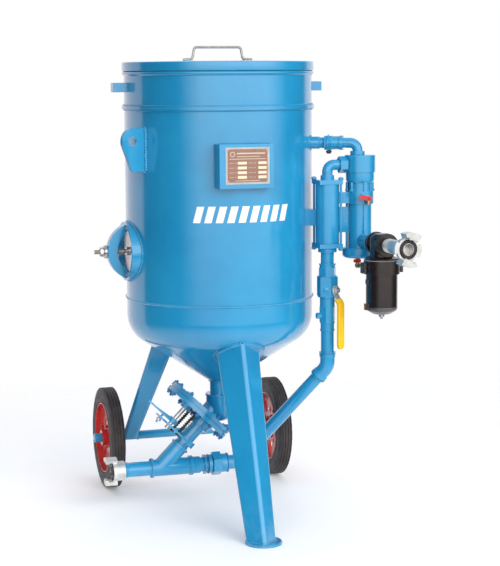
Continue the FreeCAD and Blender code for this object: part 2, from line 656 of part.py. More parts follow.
def wheels():
    for name, way in (("left", -1), ("right", 1)):
        centre = (D.wheel_centre * way, D.axle_back, D.wheel_radius)
        turn = Rotation(UP, EAST * way)
        node(f"tyre_{name}", tyre_body(), centre, turn)
        node(f"rim_{name}", rim_body(), centre, turn)


# ---------------------------------------------------------------- handhole

def handhole():
    """An oval neck, an inside cover with its gasket, and the yoke, stud and nut that draw it shut."""
    height, face = D.hand_height, D.hand_face
    half, rise, wall = D.hand_half, D.hand_rise, D.hand_wall
    neck = cut(oval(half, rise, face - D.hand_root, (-D.hand_root, 0, height)),
               oval(half - wall, rise - wall, 90, (-D.hand_root + 5, 0, height)))
    inner = D.shell_radius - D.shell_wall
    neck = cut(neck, rod(inner, 400, (0, 0, height - 200)))
    lip_back = face - D.lip_depth - D.lip_thick
    lip = cut(oval(half - wall, rise - wall, D.lip_thick, (-lip_back, 0, height)),
              oval(half - wall * 2, rise - wall * 2, 40, (-lip_back + 10, 0, height)))
    node("handhole_neck", fuse(neck, lip))

    gasket_back = lip_back - D.gasket_thick
    gasket = cut(oval(half - wall - 4, rise - wall - 4, D.gasket_thick, (-gasket_back, 0, height)),
                 oval(half - wall * 2, rise - wall * 2, 40, (-gasket_back + 10, 0, height)))
    node("handhole_gasket", gasket)

    cover_back = gasket_back - D.cover_thick
    cover = oval(half - wall - 3, rise - wall - 3, D.cover_thick, (-cover_back, 0, height))
    crown = oval(half - wall * 2 - 3, rise - wall * 2 - 3, 7, (-cover_back - D.cover_thick, 0, height))
    boss = rod(14, 12, (-cover_back - 12, 0, height), WEST)
    stud = rod(D.stud_radius, D.stud_tip - cover_back - 6, (-cover_back - 6, 0, height), WEST)
    node("handhole_cover", fuse(cover, crown, boss, stud))

    crown, hollow = (arc_radius(reach, sagitta) for reach, sagitta in
                     ((D.yoke_half, D.yoke_reach), (D.yoke_inner, D.yoke_gap)))
    arch = padded([(-face, -D.yoke_half, -crown), (-face, D.yoke_half), (-face, D.yoke_inner, hollow),
                   (-face, -D.yoke_inner)], D.yoke_width, "XZ_Plane", True)
    yoke = cut(moved(arch, (0, 0, height)), rod(D.stud_radius, 90, (-face - 70, 0, height), EAST))
    node("handhole_yoke", yoke)

    seat = -face - D.yoke_reach
    hand_nut = fuse(rod(D.washer_radius, D.washer_thick, (seat, 0, height), WEST),
                    nut(D.nut_radius, D.nut_thick, (seat - D.washer_thick, 0, height), WEST))
    node("handhole_nut", cut(hand_nut, rod(D.stud_radius, 60, (seat + 10, 0, height), WEST)))


def arc_radius(half, rise):
    """The radius of an arc from half its chord and its rise."""
    return (half * half + rise * rise) / (rise * 2)


def data_board():
    """A folded box on the shell that carries the data plate."""
    depth = D.board_front - 250
    height = D.board_high - D.board_low
    middle = -(D.board_front + 250) / 2
    outer = block(D.board_half * 2, depth, height, (D.board_shift, middle, D.board_low))
    inner = block((D.board_half - D.board_wall) * 2, depth, height + 20,
                  (D.board_shift, middle + D.board_wall, D.board_low - 10))
    node("plate_bracket", cut(outer, inner, rod(D.shell_radius, 300, (0, 0, D.board_low - 60))))
    plate_height = D.plate_high - D.plate_low
    front = -D.board_front - D.plate_thick / 2
    plate = block(D.plate_half * 2, D.plate_thick, plate_height, (D.board_shift + 2, front, D.plate_low))
    reach = D.plate_half - D.rivet_inset
    rivets = [rod(D.rivet_radius, 2.5, (D.board_shift + 2 + reach * way, -D.board_front, height_at), SOUTH)
              for way in (-1, 1) for height_at in (D.plate_low + D.rivet_inset, D.plate_high - D.rivet_inset)]
    node("data_plate", fuse(plate, *rivets))


# ---------------------------------------------------------------- air line and inlet valve

def air_line():
    """The air pipe through the vessel's wall to under the plug, and the elbow from the inlet valve's cap."""
    direction = radial(NOZZLE_ANGLE)
    outside = direction * float(D.union_start)
    turn = direction * float(D.air_turn)
    low = direction * float(D.air_foot)
    path = [(outside.x, outside.y, D.nozzle_height), (turn.x, turn.y, D.nozzle_height),
            (low.x, low.y, D.air_low), (0, 0, D.air_low), (0, 0, D.air_top)]
    pipe = fixed(swept(path, D.air_pipe, D.air_bend))
    bore = fixed(swept(path, D.air_bore, D.air_bend))
    wall = D.shell_radius - D.shell_wall
    boss = rod(D.boss_radius, D.boss_end - wall, (*polar(wall, NOZZLE_ANGLE), D.nozzle_height), direction)
    node("air_pipe", cut(fuse(pipe, boss), bore))

    start, shift = polar(D.band_start, NOZZLE_ANGLE), polar(D.elbow_shift, NOZZLE_ANGLE)
    reach = (D.valve_x - shift[0], D.valve_y - shift[1])
    path = [(*start, D.nozzle_height), (*reach, D.nozzle_height), (*reach, D.cap_high)]
    elbow = fixed(swept(path, D.elbow_radius, D.elbow_bend))
    bore = fixed(swept(path, D.air_bore, D.elbow_bend))
    foot = rod(D.band_radius + 2, 12, (*reach, D.cap_high))
    band = rod(D.band_radius + 2, 12, (*start, D.nozzle_height), direction)
    union = polar(D.union_start, NOZZLE_ANGLE)
    hexagon = nut(D.union_radius, D.union_end - D.union_start, (*union, D.nozzle_height), direction)
    collar = rod(D.band_radius, D.band_start - D.union_start, (*union, D.nozzle_height), direction)
    inlet = rod(D.air_bore, D.band_start - D.union_start + 5, (*union, D.nozzle_height), direction)
    node("air_elbow", cut(fuse(elbow, band, foot, hexagon, collar), bore, inlet))


def inlet_valve():
    """An air-operated piston valve: cap, barrel with its collar and ports, and base."""
    place = (D.valve_x, D.valve_y, 0)
    bore = D.barrel_bore
    cap = turned((0, D.cap_low + 4), (bore, D.cap_low + 4), (bore, D.cap_low), (D.cap_mid - 4, D.cap_low),
                 (D.cap_mid, D.cap_low + 7), (D.cap_mid, D.cap_step - 2), (D.cap_mid - 1.5, D.cap_step - 2),
                 (D.cap_mid - 1.5, D.cap_step), (D.cap_wide, D.cap_step), (D.cap_wide, D.cap_high - 4, 4),
                 (D.cap_wide - 4, D.cap_high), (0, D.cap_high))
    shift = polar(D.elbow_shift, NOZZLE_ANGLE)
    node("valve_cap", cut(cap, rod(D.air_bore, 60, (-shift[0], -shift[1], D.cap_high - 30))), place)

    length = D.cap_low - D.barrel_low
    barrel = rod(D.barrel_radius, length, (0, 0, D.barrel_low))
    collar = rod(D.collar_radius, D.collar_high - D.collar_low, (0, 0, D.collar_low))
    turn = radial(float(D.inlet_turn))
    port = rod(D.port_outer, D.port_length, (0, 0, D.inlet_height), turn)
    rib = block(8, 10, length, (*polar(D.barrel_radius, -86.0), D.barrel_low), -86.0)
    shell = cut(fuse(barrel, collar, port, rib), rod(bore, length, (0, 0, D.barrel_low)),
                rod(D.pipe_radius, D.port_length + 5, (0, 0, D.inlet_height), turn))
    base = turned((0, D.base_low), (D.base_radius - D.base_round, D.base_low, D.base_round),
                  (D.base_radius, D.base_low + D.base_round), (D.base_radius, D.barrel_low - 4),
                  (D.base_radius - 4, D.barrel_low), (0, D.barrel_low))
    node("valve_barrel", fuse(shell, base), place)

    low = D.inlet_height + D.pipe_radius + 11
    crown = rod(D.piston_radius, D.piston_length, (0, 0, low))
    skirt = rod(D.piston_radius - 7, D.piston_length - 12, (0, 0, low))
    node("valve_piston", cut(crown, skirt), place)


def line_cylinder():
    """The air-operated line valve beside it: a barrel between two square plates on two tie rods."""
    place = (D.line_x, D.valve_y, 0)
    barrel_low = D.line_low + D.end_plate
    barrel_high = D.line_high - D.end_plate
    barrel = tube(D.line_radius, D.line_bore, barrel_high - barrel_low, (0, 0, barrel_low))
    node("line_barrel", barrel, place)

    corners = [(D.rod_place * side, -D.rod_place * side) for side in (-1, 1)]
    way = rod(D.air_bore, 400, (0, 0, D.line_low - 20))
    ends = [block(D.plate_side, D.plate_side, D.end_plate, (0, 0, low))
            for low in (D.line_low, barrel_high)]
    rods = []
    for x, y in corners:
        start = D.line_low - D.rod_over
        rods += [rod(D.rod_radius, D.line_high - D.line_low + D.rod_over * 2, (x, y, start)),
                 nut(D.rod_nut, D.rod_over - 2, (x, y, D.line_high)),
                 nut(D.rod_nut, D.rod_over - 2, (x, y, start + 2))]
    boss = rod(D.line_boss, D.boss_depth, (0, 0, D.line_low - D.boss_depth))
    node("line_frame", cut(fuse(*ends, *rods, boss), way), place)

    piston = rod(D.line_bore - D.gap, 40, (0, 0, barrel_low + 55))
    stem = rod(7, 50, (0, 0, barrel_low + 5))
    node("line_piston", fuse(piston, stem), place)

    # the elbow from the cylinder's top across to the valve's cap
    span = D.valve_x - D.line_x
    path = [(0, 0, D.line_high), (0, 0, D.link_height), (span - D.cap_wide + 2, 0, D.link_height)]
    elbow = fixed(swept(path, D.link_radius - 2, 22))
    hexagon = nut(D.link_nut, 25, (D.link_nut_start - D.line_x, 0, D.link_height), EAST)
    foot = rod(D.link_radius + 3, 14, (0, 0, D.line_high))
    bore = fixed(swept(path, D.air_bore, 22))
    cap_space = rod(D.cap_wide, 200, (span, 0, D.link_height - 100))
    node("link_elbow", cut(fuse(elbow, hexagon, foot), bore, cap_space), place)

    # the strap to the vessel, the strap and web across to the inlet valve, and the valve's tie rod
    distance = math.hypot(D.line_x.value, D.valve_y.value)
    angle = math.degrees(math.atan2(D.valve_y.value, D.line_x.value))
    middle = (distance + D.shell_radius.value - 10) / 2
    arm = block(distance - D.shell_radius.value + 10, D.strap_width, D.strap_high - D.strap_low,
                (*polar(middle, angle), D.strap_low), angle)
    middle_x = D.line_x + span / 2
    tie = block(span, D.tie_width, D.collar_high - D.collar_low - 4, (middle_x, D.valve_y, D.collar_low + 2))
    web = block(span, D.web_width, D.web_high - D.web_low, (middle_x, D.valve_y + D.web_back, D.web_low))
    valve_rod = rod(D.rod_radius, D.cap_low - D.barrel_low,
                    (D.valve_x + D.valve_rod_x, D.valve_y + D.valve_rod_y, D.barrel_low))
    collar = rod(D.collar_radius, D.collar_high - D.collar_low, (D.valve_x, D.valve_y, D.collar_low))
    holes = [rod(D.line_radius, 400, (D.line_x, D.valve_y, 800)), rod(D.shell_radius, 400, (0, 0, 800)),
             rod(D.collar_radius, 80, (D.valve_x, D.valve_y, D.collar_low)),
             rod(D.barrel_radius, 400, (D.valve_x, D.valve_y, D.base_low)),
             *[rod(D.rod_radius + 1, 400, (D.line_x + x, D.valve_y + y, 800)) for x, y in corners],
             block(D.plate_side, D.plate_side, D.end_plate, (D.line_x, D.valve_y, D.line_low))]
    node("valve_bracket", fuse(cut(fuse(arm, tie, web), *holes), cut(valve_rod, collar)))


def mini_valves():
    """Two small brass cocks with red levers: a bleed on the collar and a drain under the base."""
    turn = float(D.bleed_turn)
    way = radial(turn)
    root = (*polar(D.collar_radius, turn), D.bleed_height)
    start = (D.valve_x + root[0], D.valve_y + root[1], root[2])
    reach = D.bleed_reach - D.collar_radius
    middle = polar(D.collar_radius + reach * 0.6, turn)
    spout = (D.valve_x + middle[0], D.valve_y + middle[1], D.bleed_height - D.spout_length)
    body = fuse(rod(D.mini_radius, reach, start, way), nut(D.mini_radius + 3, 8, start, way),
                rod(D.mini_radius - 1, D.spout_length, spout))
    drain_x, drain_y = D.valve_x + D.drain_shift, D.valve_y - D.drain_front
    pivot_y = drain_y - D.mini_radius - D.drain_stub
    drain = fuse(rod(D.mini_radius, D.mini_length, (drain_x, drain_y, D.base_low - D.mini_length)),
                 nut(D.mini_radius + 3, 9, (drain_x, drain_y, D.base_low - D.mini_length + 4)),
                 rod(4, D.mini_radius + D.drain_stub, (drain_x, drain_y, D.base_low - D.drain_drop), SOUTH))
    node("mini_valves", group(body, drain))

    pivot = polar(D.bleed_reach + D.gap, turn)
    across = UP.cross(way)
    slope = math.radians(float(D.bleed_slope))
    tail = across * math.cos(slope) - UP * math.sin(slope)
    node("bleed_lever", mini_lever(D.bleed_handle, D.bleed_half),
         (D.valve_x + pivot[0], D.valve_y + pivot[1], D.bleed_height),
         Rotation(tail, Vector(), way, "ZXY"))
    node("drain_lever", mini_lever(D.drain_handle, D.drain_half),
         (drain_x, pivot_y - D.gap, D.base_low - D.drain_drop),
         Rotation(EAST, Vector(), SOUTH, "ZXY"))


def mini_lever(length, half):
    """A lever about Z, reaching along -X from its round hub."""
    return fuse(strip(length - half, half, D.mini_thick), rod(half, D.mini_thick + 1, (0, 0, 0)),
                rod(4, D.mini_thick + 4, (0, 0, 0)))


def strip(reach, half, thick):
    """A flat bar along -X with a round end beyond its reach."""
    return fuse(block(reach, half * 2, thick, (-reach / 2, 0, 0)), rod(half, thick, (-reach, 0, 0)))


# ---------------------------------------------------------------- pusher line

STEM = radial(float(D.stem_turn))


def pusher_line():
    place = (D.line_x, D.valve_y, 0)
    bore = D.pusher_bore
    boss_start = 18.0
    body = fuse(rod(D.pusher_radius, D.line_low - D.boss_depth - D.pusher_union, (0, 0, D.pusher_union)),
                nut(D.pusher_nut, D.nut_top - D.pusher_union - 12, (0, 0, D.pusher_union)),
                rod(D.pusher_radius + 4, 12, (0, 0, D.nut_top - 12)),
                rod(D.pusher_radius + 4, D.pusher_union - D.choke_high, (0, 0, D.choke_high)),
                rod(D.pusher_radius + 3, D.choke_high - D.choke_height, (0, 0, D.choke_height)),
                ball(D.choke_body, (0, 0, D.choke_height)),
                nut(D.choke_hex, D.hex_high - D.hex_low, (0, 0, D.hex_low), UP, 30),
                rod(D.pusher_radius + 3, D.choke_height - D.neck_low, (0, 0, D.neck_low)),
                nut(D.pusher_nut - 2, D.neck_low - D.choke_nut, (0, 0, D.choke_nut)),
                rod(D.pusher_radius + 1, D.choke_nut - D.choke_low, (0, 0, D.choke_low)),
                nut(D.plug_side, D.plug_length, (-D.pusher_radius - D.plug_out, 0, D.plug_height), EAST),
                rod(D.stem_boss, D.stem_reach - boss_start - 8, STEM * boss_start
                    + Vector(0, 0, D.choke_height), STEM))
    cavity = ball(D.ball_radius + D.stem_play, (0, 0, D.choke_height))
    stem_hole = rod(D.stem_radius + D.stem_play, 80, (0, 0, D.choke_height), STEM)
    node("choke_body", cut(body, rod(bore, 400, (0, 0, 500)), cavity, stem_hole), place)

    sphere = cut(ball(D.ball_radius), rod(bore, 90, (0, 0, -45)))
    stem_start = float(D.ball_radius) - 3
    stem = rod(D.stem_radius, D.stem_reach + 10 - stem_start, STEM * stem_start, STEM)
    node("choke_ball", fuse(sphere, stem), (D.line_x, D.valve_y, D.choke_height))

    # the lever's own frame has the stem along Z and hangs along -X
    reach = D.stem_reach
    thick, out, far = D.lever_thick, D.lever_step, -D.lever_length
    flat = padded([(D.lever_tail, reach - thick), (-14, reach - thick), (-42, reach + out - thick),
                   (far + 8, reach + out - thick), (far + 8, reach + out), (-40, reach + out), (-12, reach),
                   (D.lever_tail, reach)], D.lever_metal, "XZ_Plane", True)
    skin = (D.grip_thick - thick) / 2
    half = D.lever_width / 2
    sleeve = padded([(-34, reach - thick + 11), (-47, reach + out - thick - skin),
                     (far, reach + out - thick - skin), (far, reach + out + skin),
                     (-42, reach + out + skin), (-27, reach + 15)], D.lever_width, "XZ_Plane", True)
    grip = common(sleeve, strip(D.lever_length - half, half, reach * 2))
    hub = rod(D.stem_boss + 1, D.lever_thick, (0, 0, reach - D.lever_thick))
    lever = cut(fuse(flat, grip, hub), rod(D.stem_radius, 90, (0, 0, 0)))
    side = UP.cross(STEM)
    turn = Rotation(UP, side, STEM, "ZXY")
    node("choke_lever", lever, (D.line_x, D.valve_y, D.choke_height), turn)

    path = [(D.line_x, D.valve_y, D.choke_low), (D.line_x, D.valve_y, D.pusher_turn),
            (D.pusher_end, 0, D.blast_height), (D.reducer_end - 38, 0, D.blast_height)]
    run = fixed(swept(path, D.pusher_radius, D.pusher_bend))
    inside = fixed(swept(path, bore, D.pusher_bend))
    down = Vector(*path[2]) - Vector(*path[1])
    heading = Vector(down).normalize()
    upper_joint = Vector(*path[1]) + heading * 42
    lower_joint = Vector(*path[2]) - heading * 52
    upper_elbow = fixed(swept([(D.line_x, D.valve_y, D.pusher_turn + 40), path[1], tuple(upper_joint)],
                              D.fitting_radius - 2, D.pusher_bend))
    lower_elbow = fixed(swept([tuple(lower_joint), path[2], (D.reducer_end - 38, 0, D.blast_height)],
                              D.fitting_radius - 2, D.pusher_bend))
    bands = [rod(D.fitting_radius, 9, (D.line_x, D.valve_y, D.pusher_turn + 31)),
             rod(D.fitting_radius, 9, tuple(upper_joint - heading * 9), heading),
             rod(D.fitting_radius, 9, tuple(lower_joint), heading)]
    node("pusher_pipe", cut(fuse(run, upper_elbow, lower_elbow, *bands), inside))


# ---------------------------------------------------------------- blast line

DIAGONAL = Rotation(NORTH, 45)


def blast_line():
    """Along X: the wye with its nipple to the outlet coupling, and the union to the pusher line."""
    place = (0, 0, D.blast_height)
    bore = D.blast_bore
    length = D.wye_right - D.wye_left
    beads = [rod(D.wye_bead, D.bead_width, (x, 0, 0), EAST)
             for x in (D.wye_left, D.wye_right - D.bead_width)]
    branch = Vector(1, 0, 1).normalize()
    end = branch * float(D.branch_end - D.bead_width) + Vector(float(D.wye_centre), 0, 0)
    wye = fuse(rod(D.blast_radius, D.wye_left - D.blast_start, (D.blast_start, 0, 0), EAST),
               rod(D.wye_radius, length, (D.wye_left, 0, 0), EAST),
               rod(D.wye_radius, D.branch_end, (D.wye_centre, 0, 0), branch),
               rod(D.wye_bead, D.bead_width, tuple(end), branch), *beads)
    straight = rod(bore, D.wye_right - D.blast_start + 20, (D.blast_start - 10, 0, 0), EAST)
    side = rod(bore, D.branch_end + 20, (D.wye_centre, 0, 0), branch)
    node("blast_wye", cut(wye, straight, side), place)

    nipple = rod(D.blast_radius, D.nut_left - D.wye_right, (D.wye_right, 0, 0), EAST)
    shoulders = [rod(D.wye_radius, D.shoulder_length, (D.wye_right + 3, 0, 0), EAST),
                 rod(D.wye_radius + 3, D.ferrule, (D.nut_left - D.ferrule - 3, 0, 0), EAST)]
    hexagon = nut(D.blast_nut, D.nut_right - D.nut_left, (D.nut_left, 0, 0), EAST)
    body = rod(D.claw_body - 1, D.union_right - D.nut_right, (D.nut_right, 0, 0), EAST)
    node("blast_union", cut(fuse(nipple, *shoulders, hexagon, body),
                            rod(bore, 160, (D.wye_right - 10, 0, 0), EAST),
                            rod(D.fitting_radius + 0.5, 60, (D.reducer_end - 38, 0, 0), EAST)), place)


def claw_half(length, head, cam_reach, reach, inner):
    """Half of a claw coupling about Z, its face at the top: a barrel, a head, two claws and two cams."""
    head_low = -D.claw_neck
    claws = []
    hook_low = (0, 0, D.claw_throw - D.claw_hook)
    for start in (20.0, 200.0):
        arm = cut(sector(reach, D.claw_neck + D.claw_throw, D.claw_angle, (0, 0, head_low), UP, start),
                  rod(inner, 90, (0, 0, 0.5)))
        hook = cut(sector(reach, D.claw_hook, D.claw_angle * 0.8, hook_low, UP, start),
                   rod(inner - 10, 90, (0, 0, 0)))
        cam = sector(cam_reach, D.claw_neck, D.cam_angle, (0, 0, head_low), UP, start + 96)
        claws += [arm, hook, cam]
    body = fuse(rod(D.claw_body, length, (0, 0, -length)), rod(head, D.claw_neck, (0, 0, head_low)),
                *claws)
    return cut(body, rod(D.seal_bore - 1, length + 60, (0, 0, -length - 10)),
               rod(D.seal_outer, D.seal_deep + 40, (0, 0, -D.seal_deep)))


def claw_seal():
    """The rubber ring in a claw coupling's face."""
    return cut(fuse(rod(D.seal_outer - 0.05, D.seal_deep, (0, 0, -D.seal_deep)),
                    rod(D.seal_outer - 3, D.seal_proud, (0, 0, 0))),
               rod(D.seal_bore, 60, (0, 0, -30)))


def couplings():
    turn = Rotation(UP, WEST) * Rotation(UP, -51)
    length = D.claw_root - D.claw_face
    place = (D.claw_face, 0, D.blast_height)
    half = claw_half(length, D.outlet_head, D.outlet_cam, D.outlet_reach, D.outlet_inner)
    shell = cut(half, rod(D.blast_radius, 60, (0, 0, D.claw_face - D.blast_start - 60)))
    node("outlet_coupling", shell, place, turn)
    node("outlet_gasket", claw_seal(), place, turn)

    heading = radial(float(D.inlet_turn))
    face = Vector(D.valve_x, D.valve_y, D.inlet_height) + heading * float(D.inlet_face)
    turn = Rotation(UP, heading) * Rotation(UP, 36)
    length = D.inlet_face - D.nipple_end
    nipple_low = D.port_end - D.inlet_face
    nipple = fuse(rod(D.nipple_radius, D.nipple_end - D.port_end, (0, 0, nipple_low)),
                  nut(D.nipple_radius + 5, D.nipple_hex, (0, 0, -length - D.nipple_hex)))
    nipple = cut(nipple, rod(D.pipe_radius, 90, (0, 0, nipple_low - 30)))
    half = claw_half(length, D.claw_head, D.cam_reach, D.claw_reach, D.claw_inner)
    node("inlet_coupling", fuse(half, nipple), tuple(face), turn)
    node("inlet_gasket", claw_seal(), tuple(face), turn)


# ---------------------------------------------------------------- metering valve, about the branch's axis

def on_branch(name, thing):
    node(name, thing, (D.wye_centre, 0, D.blast_height), DIAGONAL)


def metering_valve():
    """Two bolted discs with a swinging blade between them, off-centre on the branch, below the outlet."""
    shift = D.disc_shift
    flow = rod(D.meter_bore, 300, (0, 0, 60))
    cavity = rod(D.cavity_radius, D.cavity_half * 2, (shift, 0, D.disc_mid - D.cavity_half))

    def disc(low):
        plate = fuse(rod(D.disc_radius - D.seam_depth, D.disc_mid - D.disc_low, (shift, 0, low)),
                     rod(D.disc_radius, D.disc_mid - D.disc_low - D.seam_half,
                         (shift, 0, low + (D.seam_half if low.value > D.disc_low.value else 0))))
        holes = [rod(D.bolt_radius, 60, (x + shift, y, low - 20)) for x, y in bolt_places()]
        return cut(plate, *holes, cavity)

    # the upper disc's casting turns upright to meet the vessel's outlet
    reach = (D.outlet_centre - D.blast_height) * math.sqrt(2)
    upright = Vector(-1, 0, 1).normalize()
    centre = Vector(0, 0, float(reach))
    body_low = centre - upright * float(D.elbow_drop)
    body = rod(D.outlet_body, D.outlet_bottom - D.outlet_centre + D.elbow_drop, tuple(body_low), upright)
    arm = rod(D.meter_hub, reach - D.disc_high, (0, 0, D.disc_high))
    heel = ball(D.outlet_body - 2, tuple(centre - upright * 20))
    way = rod(D.meter_bore, reach, (0, 0, 0))
    on_branch("meter_upper", cut(fuse(cut(fuse(body, heel), block(300, 300, 100, (0, 0, D.disc_mid - 100))),
                                      disc(D.disc_mid), arm),
                                 cavity, way, ball(D.meter_bore, tuple(centre)),
                                 rod(D.meter_bore, 90, tuple(centre), upright)))

    hub = rod(D.meter_hub, D.disc_low - D.hub_low, (0, 0, D.hub_low))
    nipple = rod(D.blast_radius, D.disc_low - D.branch_end, (0, 0, D.branch_end))
    boss = rod(D.spindle_boss, D.disc_low - D.boss_low, (D.spindle_x, 0, D.boss_low))
    pivot = rod(D.spindle_radius + D.stem_play, 140, (D.spindle_x, 0, 100))
    lower = fuse(disc(D.disc_low), hub, nipple, boss, meter_bracket())
    on_branch("meter_lower", cut(lower, cavity, flow, pivot))
    meter_springs()

    bolts = []
    for x, y in bolt_places():
        low = D.disc_low - D.bolt_over
        length = D.disc_high - D.disc_low + D.bolt_over * 2 + 5
        bolts.append(fuse(rod(D.bolt_radius, length, (x + shift, y, low - 5)),
                          nut(D.bolt_head, D.bolt_over, (x + shift, y, low)),
                          nut(D.bolt_head, D.bolt_over, (x + shift, y, D.disc_high))))
    on_branch("meter_bolts", group(*bolts))
    meter_blade()


def bolt_places():
    return around(int(D.bolts.value), lambda turn: polar(D.bolt_circle, turn + 15))


def meter_blade():
    """The blade swings with its spindle and lever; it covers the bore at rest."""
    thick = D.blade_half * 2
    low = -D.blade_half
    offset = -D.spindle_x
    blade = fuse(rod(D.blade_radius, thick, (offset, 0, low)), rod(D.blade_hub, thick, (0, 0, low)),
                 block(offset, D.blade_hub * 1.6, thick, (offset / 2, 0, low)))
    foot = D.disc_mid - D.bracket_low + 12
    spindle = rod(D.spindle_radius, foot, (0, 0, -foot))
    node("meter_blade", fuse(blade, spindle), branch_point(D.spindle_x, D.disc_mid), DIAGONAL)

    tip = D.spindle_x - D.meter_tip
    root = D.meter_half / 2
    lever = padded([(root, -D.meter_half + 4), (root, D.meter_half - 4), (-D.slot_radius, D.meter_half),
                    (-tip, 1), (-tip, -1), (-D.slot_radius, -D.meter_half)], D.meter_thick)
    hub = rod(D.meter_half, D.meter_thick + 10, (0, 0, 0))
    wedge = padded([(0, 1), (-tip + 12, D.meter_thick - 2), (-D.slot_radius, D.meter_thick + 4),
                    (0, D.meter_thick + 9)], D.meter_half, "XZ_Plane", True)
    bolt_length = D.lever_low - D.wing_low + 6
    bolt = rod(D.wing_bolt, bolt_length, (-D.slot_radius, 0, D.meter_thick - 1 - bolt_length))
    node("meter_lever", fuse(cut(fuse(lever, hub, wedge), rod(D.spindle_radius, 60, (0, 0, -20))), bolt),
         branch_point(D.spindle_x, D.lever_low), DIAGONAL)

    wings = fuse(rod(D.wing_hub, 10, (0, 0, 0)), block(D.wing_span, 4, 12, (0, 0, -3)),
                 block(4, D.wing_span, 8, (0, 0, 0)))
    wings = cut(wings, rod(D.wing_bolt + D.stem_play, 40, (0, 0, -20)))
    node("meter_knob", wings, branch_point(D.spindle_x - D.slot_radius, D.bracket_low - 10.3), DIAGONAL)


def branch_point(across, along):
    """The place of a point of the branch's own frame, in the vessel's frame."""
    share = math.sqrt(0.5)
    return (D.wye_centre + (along + across) * share, 0, D.blast_height + (along - across) * share)


def meter_bracket():
    """A quadrant plate clamped to the branch and slotted for the wing bolt."""
    low, thick = D.bracket_low, D.bracket_thick
    plate = padded([(0, -D.bracket_half), (D.spindle_x, -D.bracket_half), (D.bracket_reach, -22),
                    (D.bracket_reach, 22), (D.spindle_x, D.bracket_half), (0, D.bracket_half)], thick)
    clamp = rod(D.meter_hub, 20, (0, 0, low - 7))
    inner, outer = D.slot_radius - D.slot_half, D.slot_radius + D.slot_half
    slot = cut(sector(outer, 40, D.slot_sweep + 6, (D.spindle_x, 0, low - 10), UP, 177),
               rod(inner, 60, (D.spindle_x, 0, low - 20)))
    slot_end = rod(D.slot_half + 1, 40, (D.spindle_x - D.slot_radius, 0, low - 10))
    return cut(fuse(moved(plate, (0, 0, low)), clamp), slot, slot_end)


def meter_springs():
    """Two sprung studs between the quadrant plate and the lower disc."""
    springs = []
    start = D.bracket_low + D.bracket_thick
    turns = int(D.spring_turns.value)
    pitch = (D.disc_low - start) / turns
    for way in (-1, 1):
        x, y = D.spring_x, D.spring_y * way
        core = rod(D.spring_radius - 2, D.disc_low - start, (x, y, start))
        coils = [ring(D.spring_radius - D.spring_wire, D.spring_wire, (x, y, start + pitch * (turn + 0.5)))
                 for turn in range(turns)]
        springs.append(fuse(core, *coils))
    on_branch("meter_springs", group(*springs))


# ---------------------------------------------------------------- filter

def filter_set():
    heading = radial(float(D.inlet_turn))
    reach = heading * float(D.filter_reach)
    centre = (D.valve_x + reach.x, D.valve_y + reach.y)
    place = (*centre, 0)
    port_back = float(D.port_length) + 1.0
    head = turned((0, D.head_low), (D.bowl_radius + 4, D.head_low), (D.bowl_radius + 4, D.head_low + 6),
                  (D.head_radius, D.head_low + 12), (D.head_radius, D.head_high - 14, 26),
                  (D.head_radius - 18, D.head_high), (0, D.head_high))
    back = rod(D.filter_port, D.filter_reach - port_back, (0, 0, D.inlet_height), -heading)
    front = rod(D.outer_port, D.port_end - D.filter_reach, (0, 0, D.inlet_height), heading)
    through = rod(D.pipe_radius, 200, tuple(Vector(0, 0, float(D.inlet_height)) - heading * 100), heading)
    well = rod(D.element_radius + 4, 30, (0, 0, D.head_low))
    node("filter_head", cut(fuse(head, back, front), through, well), place)

    clamp_high = D.head_low
    clamp = rod(D.clamp_radius, clamp_high - D.clamp_low, (0, 0, D.clamp_low))
    ears = [block(D.clamp_ear, D.ear_width, 34, (D.clamp_ear / 2 * way, 0, D.clamp_low + 3), 0.0)
            for way in (-1, 1)]
    inner = rod(D.bowl_radius, 90, (0, 0, D.clamp_low - 20))
    node("filter_clamp", cut(fuse(clamp, *ears), inner), place)

    outer, wall = D.bowl_radius - 0.05, D.bowl_wall
    dome = D.bowl_dome
    bowl = turned((0, D.bowl_low - dome), (14, D.bowl_low - dome), (outer - 4, D.bowl_low),
                  (outer, D.bowl_low + 6),
                  (outer, D.head_low), (outer - wall, D.head_low), (outer - wall, D.bowl_low + 8),
                  (12, D.bowl_low - dome + 5), (0, D.bowl_low - dome + 5))
    tab_low = block(16, 14, 20, (-outer - 2, -8, D.bowl_low + 4))
    tab_high = block(10, 12, 14, (-outer - 1, -8, D.clamp_low - 30))
    node("filter_bowl", cut(fuse(bowl, tab_low, tab_high), rod(outer - wall, 90, (0, 0, D.bowl_low + 8)),
                            rod(D.drain_radius + 0.3, 90, (0, 0, D.bowl_low - 60))), place)

    element = tube(D.element_radius, D.element_bore, D.head_low + 10 - D.element_low, (0, 0, D.element_low))
    lid_disc = rod(D.element_radius, 4, (0, 0, D.element_low - 4))
    node("filter_element", fuse(element, lid_disc), place)

    drain = fuse(rod(D.drain_radius, D.drain_length + 12, (0, 0, -D.drain_length)),
                 rod(D.tap_radius, D.tap_height, (0, 0, -D.tap_height - 0.3)))
    node("filter_drain", drain, (*centre, D.bowl_low - dome))


for build in (vessel, lid, pop_up, lugs, grab_handles, legs, axle, wheels, handhole, data_board, air_line,
              inlet_valve, line_cylinder, mini_valves, pusher_line, blast_line, couplings, metering_valve,
              filter_set):
    build()
doc.recompute()

failed = [thing.Label for thing in doc.Objects if "Invalid" in thing.State or "Error" in thing.State]
if failed:
    raise RuntimeError(f"not built: {failed}")
for finished in NODES:
    if finished.Shape.isNull() or not finished.Shape.isValid():
        raise RuntimeError(f"bad shape: {finished.Label}")
    finished.Shape.exportStep(f"parts/{finished.Label}.step")
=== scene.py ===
"""Looks of a portable pressure blast pot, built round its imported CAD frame, in metres."""

